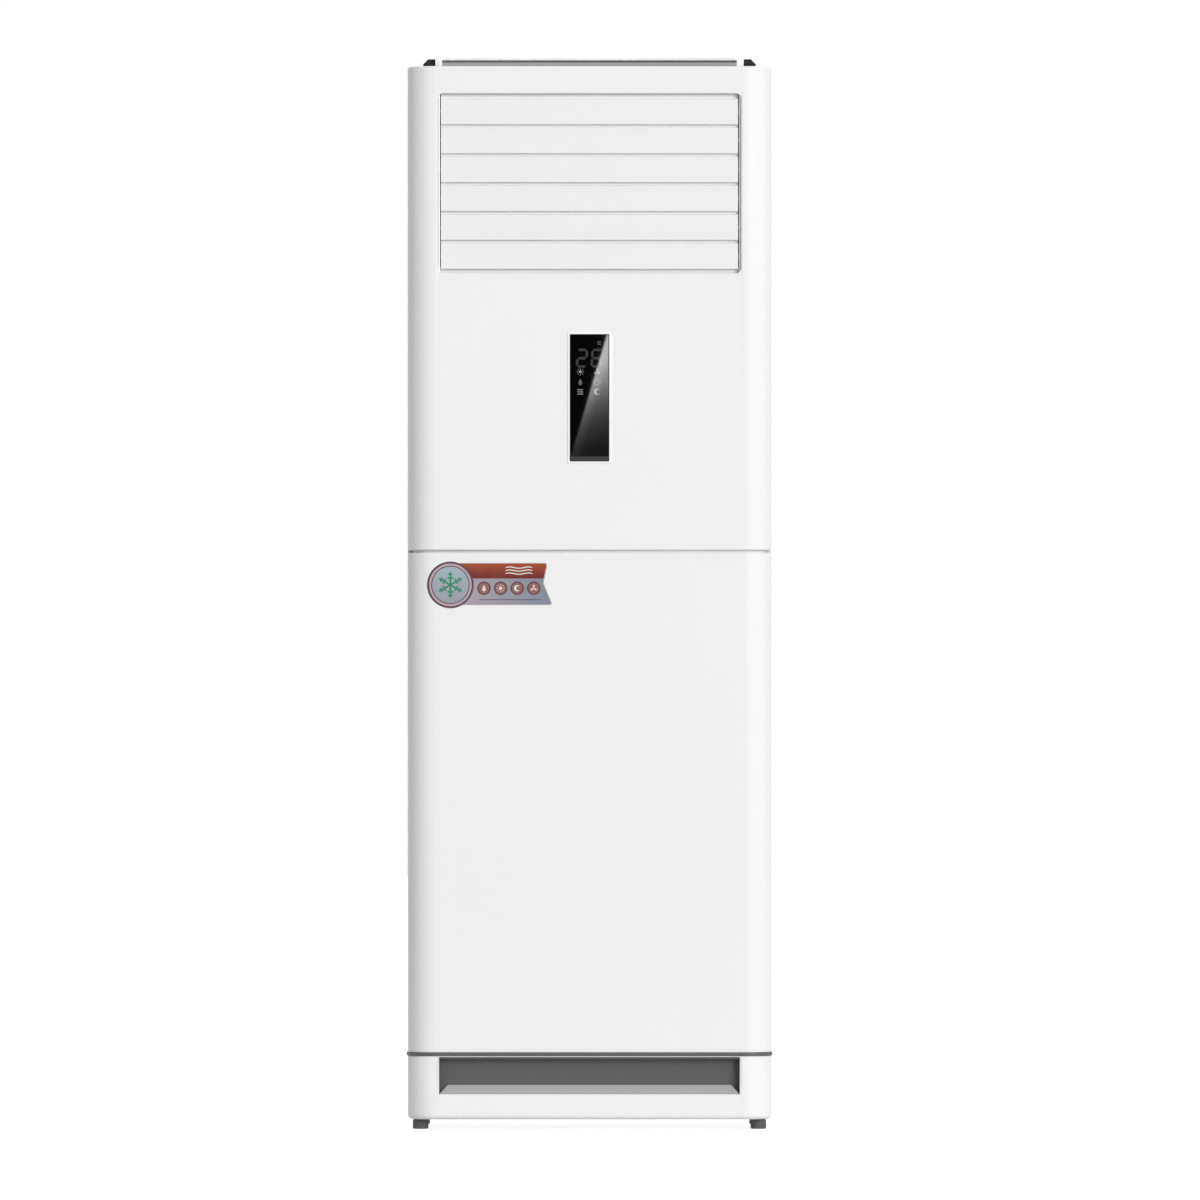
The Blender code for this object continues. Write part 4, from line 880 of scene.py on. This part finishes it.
silverStart, silverEnd = (fromPhoto(px, 0.0)[0] for px in sticker["silverFade"])
redStart, redEnd = (fromPhoto(0.0, py)[1] for py in sticker["redFade"])
mistStart, mistEnd = (discZ + share * discRadius for share in mistFade)
inkSilver = stickerInk("inkSilver", (0.374, 0.323, 0.368), (0.208, 0.240, 0.295), 0, silverStart, silverEnd)
inkRed = stickerInk("inkRed", (0.318, 0.052, 0.014), (0.142, 0.008, 0.005), 2, redStart, redEnd)
inkMist = stickerInk("inkMist", (0.345, 0.415, 0.465), (0.290, 0.265, 0.310), 2, mistStart, mistEnd)


ribbonLayers = {  # the corners, the radius at each, and how far the layer stands off the panel
    "ribbonRim": (rimCorners, (0, tailRound, 0, tailRound, 0), 0.00012, inkPink),
    "ribbonField": (fieldCorners, (0, tailRound, 0, 0, 0), 0.00018, inkSilver),
    "ribbonBand": (bandCorners, (0, 0, tailRound, 0), 0.00020, inkRed),
}
discLayers = {  # the radius inside and outside, and how far the layer stands off the panel
    "discRim": (paleRadius, discRadius, 0.00036, inkMaroon),
    "discPaleRing": (fieldRadius, paleRadius, 0.00036, inkPink),
    "discThinRing": (fieldRadius - stickerSizes["thinRing"], fieldRadius, 0.00038, inkMaroon),
    "discField": (stickerSizes["discHole"], fieldRadius, 0.00034, inkMist),
}
stickerPieces = [newPiece(name, *ribbonPlate(*shape), ink) for name, (*shape, ink) in ribbonLayers.items()]
stickerPieces += [newPiece(name, *polarSheet(discX, discZ, *shape), ink)
                  for name, (*shape, ink) in discLayers.items()]

flake = {
    "arms": 6, "firstArm": 30, "hub": 0.0036, "hubSteps": 24,
    "armStart": 0.0028, "reach": 0.0225, "stroke": 0.0030,
    "branches": ((0.0090, 0.0068), (0.0152, 0.0056)),  # where each pair starts on its arm, and its length
    "branchFoot": (0.0009, 0.0012), "branchSlope": (0.6, 0.8), "lift": 0.00040, "branchLift": 0.00037,
}


def flakeArm(turn, start, end, lift):
    # A bar turned about the disc's middle.
    bar = segmentBar(turned(start, turn), turned(end, turn), flake["stroke"])
    return flatShape(bar + (discX, discZ), panelFace - lift)


def flakeShapes():
    # A hub, and for each arm a bar with two pairs of side branches.
    hub = diskOutline(discX, discZ, flake["hub"], flake["hubSteps"])
    parts = [flatShape(hub, panelFace - flake["lift"] - inkLayer)]
    for turn in flake["firstArm"] + 360 / flake["arms"] * np.arange(flake["arms"]):
        turn = math.radians(turn)
        parts.append(flakeArm(turn, (flake["armStart"], 0.0), (flake["reach"], 0.0), flake["lift"]))
        for start, length in flake["branches"]:
            for side in (1, -1):
                foot = (start + flake["branchFoot"][0], side * flake["branchFoot"][1])
                tip = (start + length * flake["branchSlope"][0], side * length * flake["branchSlope"][1])
                parts.append(flakeArm(turn, foot, tip, flake["branchLift"]))
    return parts


waves = {
    "rows": (567.6, 570.6, 573.6), "left": 505.0, "length": 0.046, "swing": 0.0011, "turns": 1.5,
    "half": 0.0009, "endShare": 0.02, "steps": 40,
}


def waveOutline(row):
    # A ribbon round z = level + swing*sin(k*s), whose half width is half*(1-(2s-1)^6)^(1/2), s from 0 to 1.
    s = np.linspace(0, 1, waves["steps"])
    start, level = fromPhoto(waves["left"], row)
    x = start + waves["length"] * s
    middle = level + waves["swing"] * np.sin(fullTurn * waves["turns"] * s)
    half = waves["half"] * np.sqrt(np.clip(1 - (2 * s - 1) ** 6, waves["endShare"], 1))
    return np.vstack([np.stack([x, middle - half], -1), np.stack([x, middle + half], -1)[::-1]])


stickerY = panelFace - marksLift
markRims, markFields, ribbonMarks = [], [], []
for kind, px in sticker["marks"]:
    x, z = fromPhoto(px, sticker["markRow"])
    size = stickerSizes["sunMark" if kind == "sun" else "mark"]
    rim = diskOutline(x, z, stickerSizes["markRim"], circleSteps["rim"])
    field = diskOutline(x, z, stickerSizes["markField"], circleSteps["field"])
    markRims.append(flatShape(rim, stickerY))
    markFields.append(flatShape(field, stickerY - inkLayer))
    ribbonMarks += markParts(kind, x, z, size, stickerY - 2 * inkLayer)
ruleEnds = [fromPhoto(px, sticker["ruleRow"]) for px in sticker["rule"]]
ribbonRule = segmentBar(*ruleEnds, stickerSizes["rule"])
waveParts = [flatShape(waveOutline(row), stickerY) for row in waves["rows"]]
markLayers = {
    "discFlake": (flakeShapes(), inkGreen), "iconDisks": (markRims, inkMaroon),
    "iconFields": (markFields, inkTan), "iconMarks": (ribbonMarks, inkPale),
    "ribbonRule": ([flatShape(ribbonRule, stickerY)], inkBlue), "bandWaves": (waveParts, inkPale),
}
stickerPieces += [newPiece(name, *mergeParts(parts), ink) for name, (parts, ink) in markLayers.items()]
for piece in stickerPieces:
    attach(piece, cabinetBody)
print("sticker built")


# Camera
cameraView = {"lens": 600.0, "sensor": 36.0, "clipEnd": 200.0}
cameraDistance = photoPixels * photoScale * cameraView["lens"] / cameraView["sensor"]
centreX, centreZ = fromPhoto(photoPixels / 2, photoPixels / 2)
cameraData = bpy.data.cameras.new("photoCamera")
cameraData.lens = cameraView["lens"]
cameraData.sensor_width = cameraView["sensor"]
cameraData.clip_end = cameraView["clipEnd"]
camera = bpy.data.objects.new("photoCamera", cameraData)
scene.collection.objects.link(camera)
camera.location = (centreX, panelFace - cameraDistance, centreZ)
camera.rotation_euler = (math.pi / 2, 0.0, 0.0)
scene.camera = camera


# Light and floor
worldLight = 0.58  # as light; the eye and reflections see white
softboxes = {  # azimuth 0 is in front and 90 on the right
    "keySoftbox": {"power": 5850.0, "azimuth": 32.0, "height": 12.0, "width": 12.0, "tall": 16.0},
    "rearSoftbox": {"power": 3300.0, "azimuth": 180.0, "height": 25.0, "width": 12.0, "tall": 6.0},
}
softboxAim, softboxDistance = (0.0, 0.0, 0.95), 30.0
floorLook = {
    "half": 30.0, "drop": 0.0005, "tone": 0.50, "roughness": 0.9,
    "glow": (0.5, 2.2, 0.79, 1.0),  # seen: from and to in metres, strength at each
    "bounce": (0.30, 0.8, 0.13, 0.0),  # not seen, extra light on the base: the same
}


def backdropRays(tree):
    # 1 for rays that see the background, straight, mirrored or through glass, and 0 for the rest.
    path = addNode(tree, "LightPath").outputs
    seen = mathNode(tree, "MAXIMUM", path["Is Camera Ray"], path["Is Glossy Ray"])
    return mathNode(tree, "MAXIMUM", seen, path["Is Transmission Ray"])


def makeWorld():
    world = bpy.data.worlds.new("softRoom")
    scene.world = world
    world.use_nodes = True
    tree = world.node_tree
    strength = mathNode(tree, "MULTIPLY_ADD", backdropRays(tree), 1.0 - worldLight, worldLight)
    feedAll(tree, tree.nodes["Background"], {"Color": grey(1.0), "Strength": strength})


def makeFloor():
    # A large square whose glow grows from the middle outwards for the eye, and fades out as light.
    material = bpy.data.materials.new("paleFloor")
    material.use_nodes = True
    tree = material.node_tree
    shader = tree.nodes["Principled BSDF"]
    feedAll(tree, shader, {"Base Color": grey(floorLook["tone"]), "Roughness": floorLook["roughness"],
                           "Specular IOR Level": 0.0, "Emission Color": grey(1.0)})
    seen = backdropRays(tree)
    reach = addNode(tree, "VectorMath", operation="LENGTH")
    feed(tree, reach.inputs[0], objectPlace(tree))
    reach = reach.outputs["Value"]
    glow = smoothRange(tree, reach, *floorLook["glow"])
    bounce = smoothRange(tree, reach, *floorLook["bounce"])
    unseen = mathNode(tree, "MULTIPLY", mathNode(tree, "SUBTRACT", 1.0, seen), bounce)
    feed(tree, shader.inputs["Emission Strength"], mathNode(tree, "MULTIPLY_ADD", seen, glow, unseen))
    half = floorLook["half"]
    points = [(-half, -half, 0), (half, -half, 0), (half, half, 0), (-half, half, 0)]
    floor = newPiece("floor", points, [(0, 1, 2, 3)], material)
    floor.location.z = -floorLook["drop"]
    return floor


def makeSoftbox(name, box):
    # A rectangular lamp that faces the middle of the cabinet.
    lampData = bpy.data.lights.new(name, "AREA")
    lampData.shape = "RECTANGLE"
    lampData.size, lampData.size_y = box["width"], box["tall"]
    lampData.energy = box["power"]
    lamp = bpy.data.objects.new(name, lampData)
    scene.collection.objects.link(lamp)
    azimuth, height = math.radians(box["azimuth"]), math.radians(box["height"])
    level = math.cos(height)
    away = Vector((math.sin(azimuth) * level, -math.cos(azimuth) * level, math.sin(height)))
    lamp.location = Vector(softboxAim) + away * softboxDistance
    lamp.rotation_euler = (-away).to_track_quat("-Z", "Y").to_euler()


makeWorld()
floor = makeFloor()
for name, box in softboxes.items():
    makeSoftbox(name, box)


# Painted reflection: a glowing card that only the lens mirrors, a bright wedge on black, from columns and
# rows of the photograph
wedge = {
    "ahead": 2.8, "leftBottom": (545.0, 490.0), "rightTop": (635.0, 305.0),
    "edgeTop": (606.5, 335.0), "edgeLow": (573.0, 448.0), "edgeSoftness": 0.0020,
    "tones": {0.0: 0.012, 0.17: 0.032, 0.27: 0.053, 0.40: 0.10, 0.52: 0.19, 0.78: 0.40, 1.0: 0.44},
    "strength": 26.5, "awayDim": 10.0, "awayReach": 0.05, "edgeBoost": 30.0, "edgeReach": 0.020,
}
cardY = panelFace - wedge["ahead"]


def cardPoint(px, py):
    # Where the camera's mirrored ray through a pixel of the lens meets the card.
    x, z = fromPhoto(px, py)
    share = (lensFace - cardY) / cameraDistance
    return x + share * (x - centreX), z + share * (z - centreZ)


def wedgeRamp(tree, fade):
    # Tones from the wedge's low end, at 0, to its top, at 1.
    node = addNode(tree, "ValToRGB")
    feed(tree, node.inputs[0], fade)
    stops = node.color_ramp.elements
    for position, tone in wedge["tones"].items():
        isEnd = position in (0.0, 1.0)  # the ramp has both end stops already
        stop = stops[-int(position)] if isEnd else stops.new(position)
        stop.color = (tone, tone, tone, 1)
    return node.outputs[0]


def wedgeGlow(tree):
    # The painted reflection's glow: the ramp's tone right of the slanted edge, brighter beside the edge low
    # down and dimmer far from it.
    topX, topZ = cardPoint(*wedge["edgeTop"])
    lowX, lowZ = cardPoint(*wedge["edgeLow"])
    place = splitVector(tree, objectPlace(tree))
    rise = mathNode(tree, "SUBTRACT", place[2], lowZ)
    edgeX = mathNode(tree, "MULTIPLY_ADD", rise, (topX - lowX) / (topZ - lowZ), lowX)
    inside = mathNode(tree, "SUBTRACT", place[0], edgeX)
    soft = mathNode(tree, "DIVIDE", inside, wedge["edgeSoftness"], clamp=True)
    fade = mathNode(tree, "DIVIDE", rise, topZ - lowZ, clamp=True)
    away = mathNode(tree, "DIVIDE", inside, wedge["awayReach"], clamp=True)
    near = mathNode(tree, "MULTIPLY_ADD", inside, -1 / wedge["edgeReach"], 1.0, clamp=True)
    low = mathNode(tree, "MULTIPLY_ADD", fade, -1.0, 1.0, clamp=True)
    plain = mathNode(tree, "MULTIPLY_ADD", away, -wedge["awayDim"], wedge["strength"])
    beside = mathNode(tree, "MULTIPLY", near, low)
    strength = mathNode(tree, "MULTIPLY_ADD", beside, wedge["edgeBoost"], plain)
    return mathNode(tree, "MULTIPLY", mathNode(tree, "MULTIPLY", soft, wedgeRamp(tree, fade)), strength)


def makeReflectionCard():
    # An upright glowing rectangle in front of the lens that only mirrored rays see: it paints a reflection
    # into the lens.
    material = bpy.data.materials.new("paintedReflectionCard")
    material.use_nodes = True
    tree = material.node_tree
    tree.nodes.remove(tree.nodes["Principled BSDF"])
    emission = addNode(tree, "Emission")
    feed(tree, emission.inputs["Strength"], wedgeGlow(tree))
    feed(tree, tree.nodes["Material Output"].inputs["Surface"], emission.outputs[0])
    leftX, bottomZ = cardPoint(*wedge["leftBottom"])
    rightX, topZ = cardPoint(*wedge["rightTop"])
    points = [(leftX, cardY, bottomZ), (rightX, cardY, bottomZ), (rightX, cardY, topZ), (leftX, cardY, topZ)]
    card = newPiece("reflectionCard", points, [(3, 2, 1, 0)], material)
    for rays in ("camera", "diffuse", "transmission", "shadow"):
        setattr(card, "visible_" + rays, False)
    return card


card = makeReflectionCard()
print("stage, light and camera set")
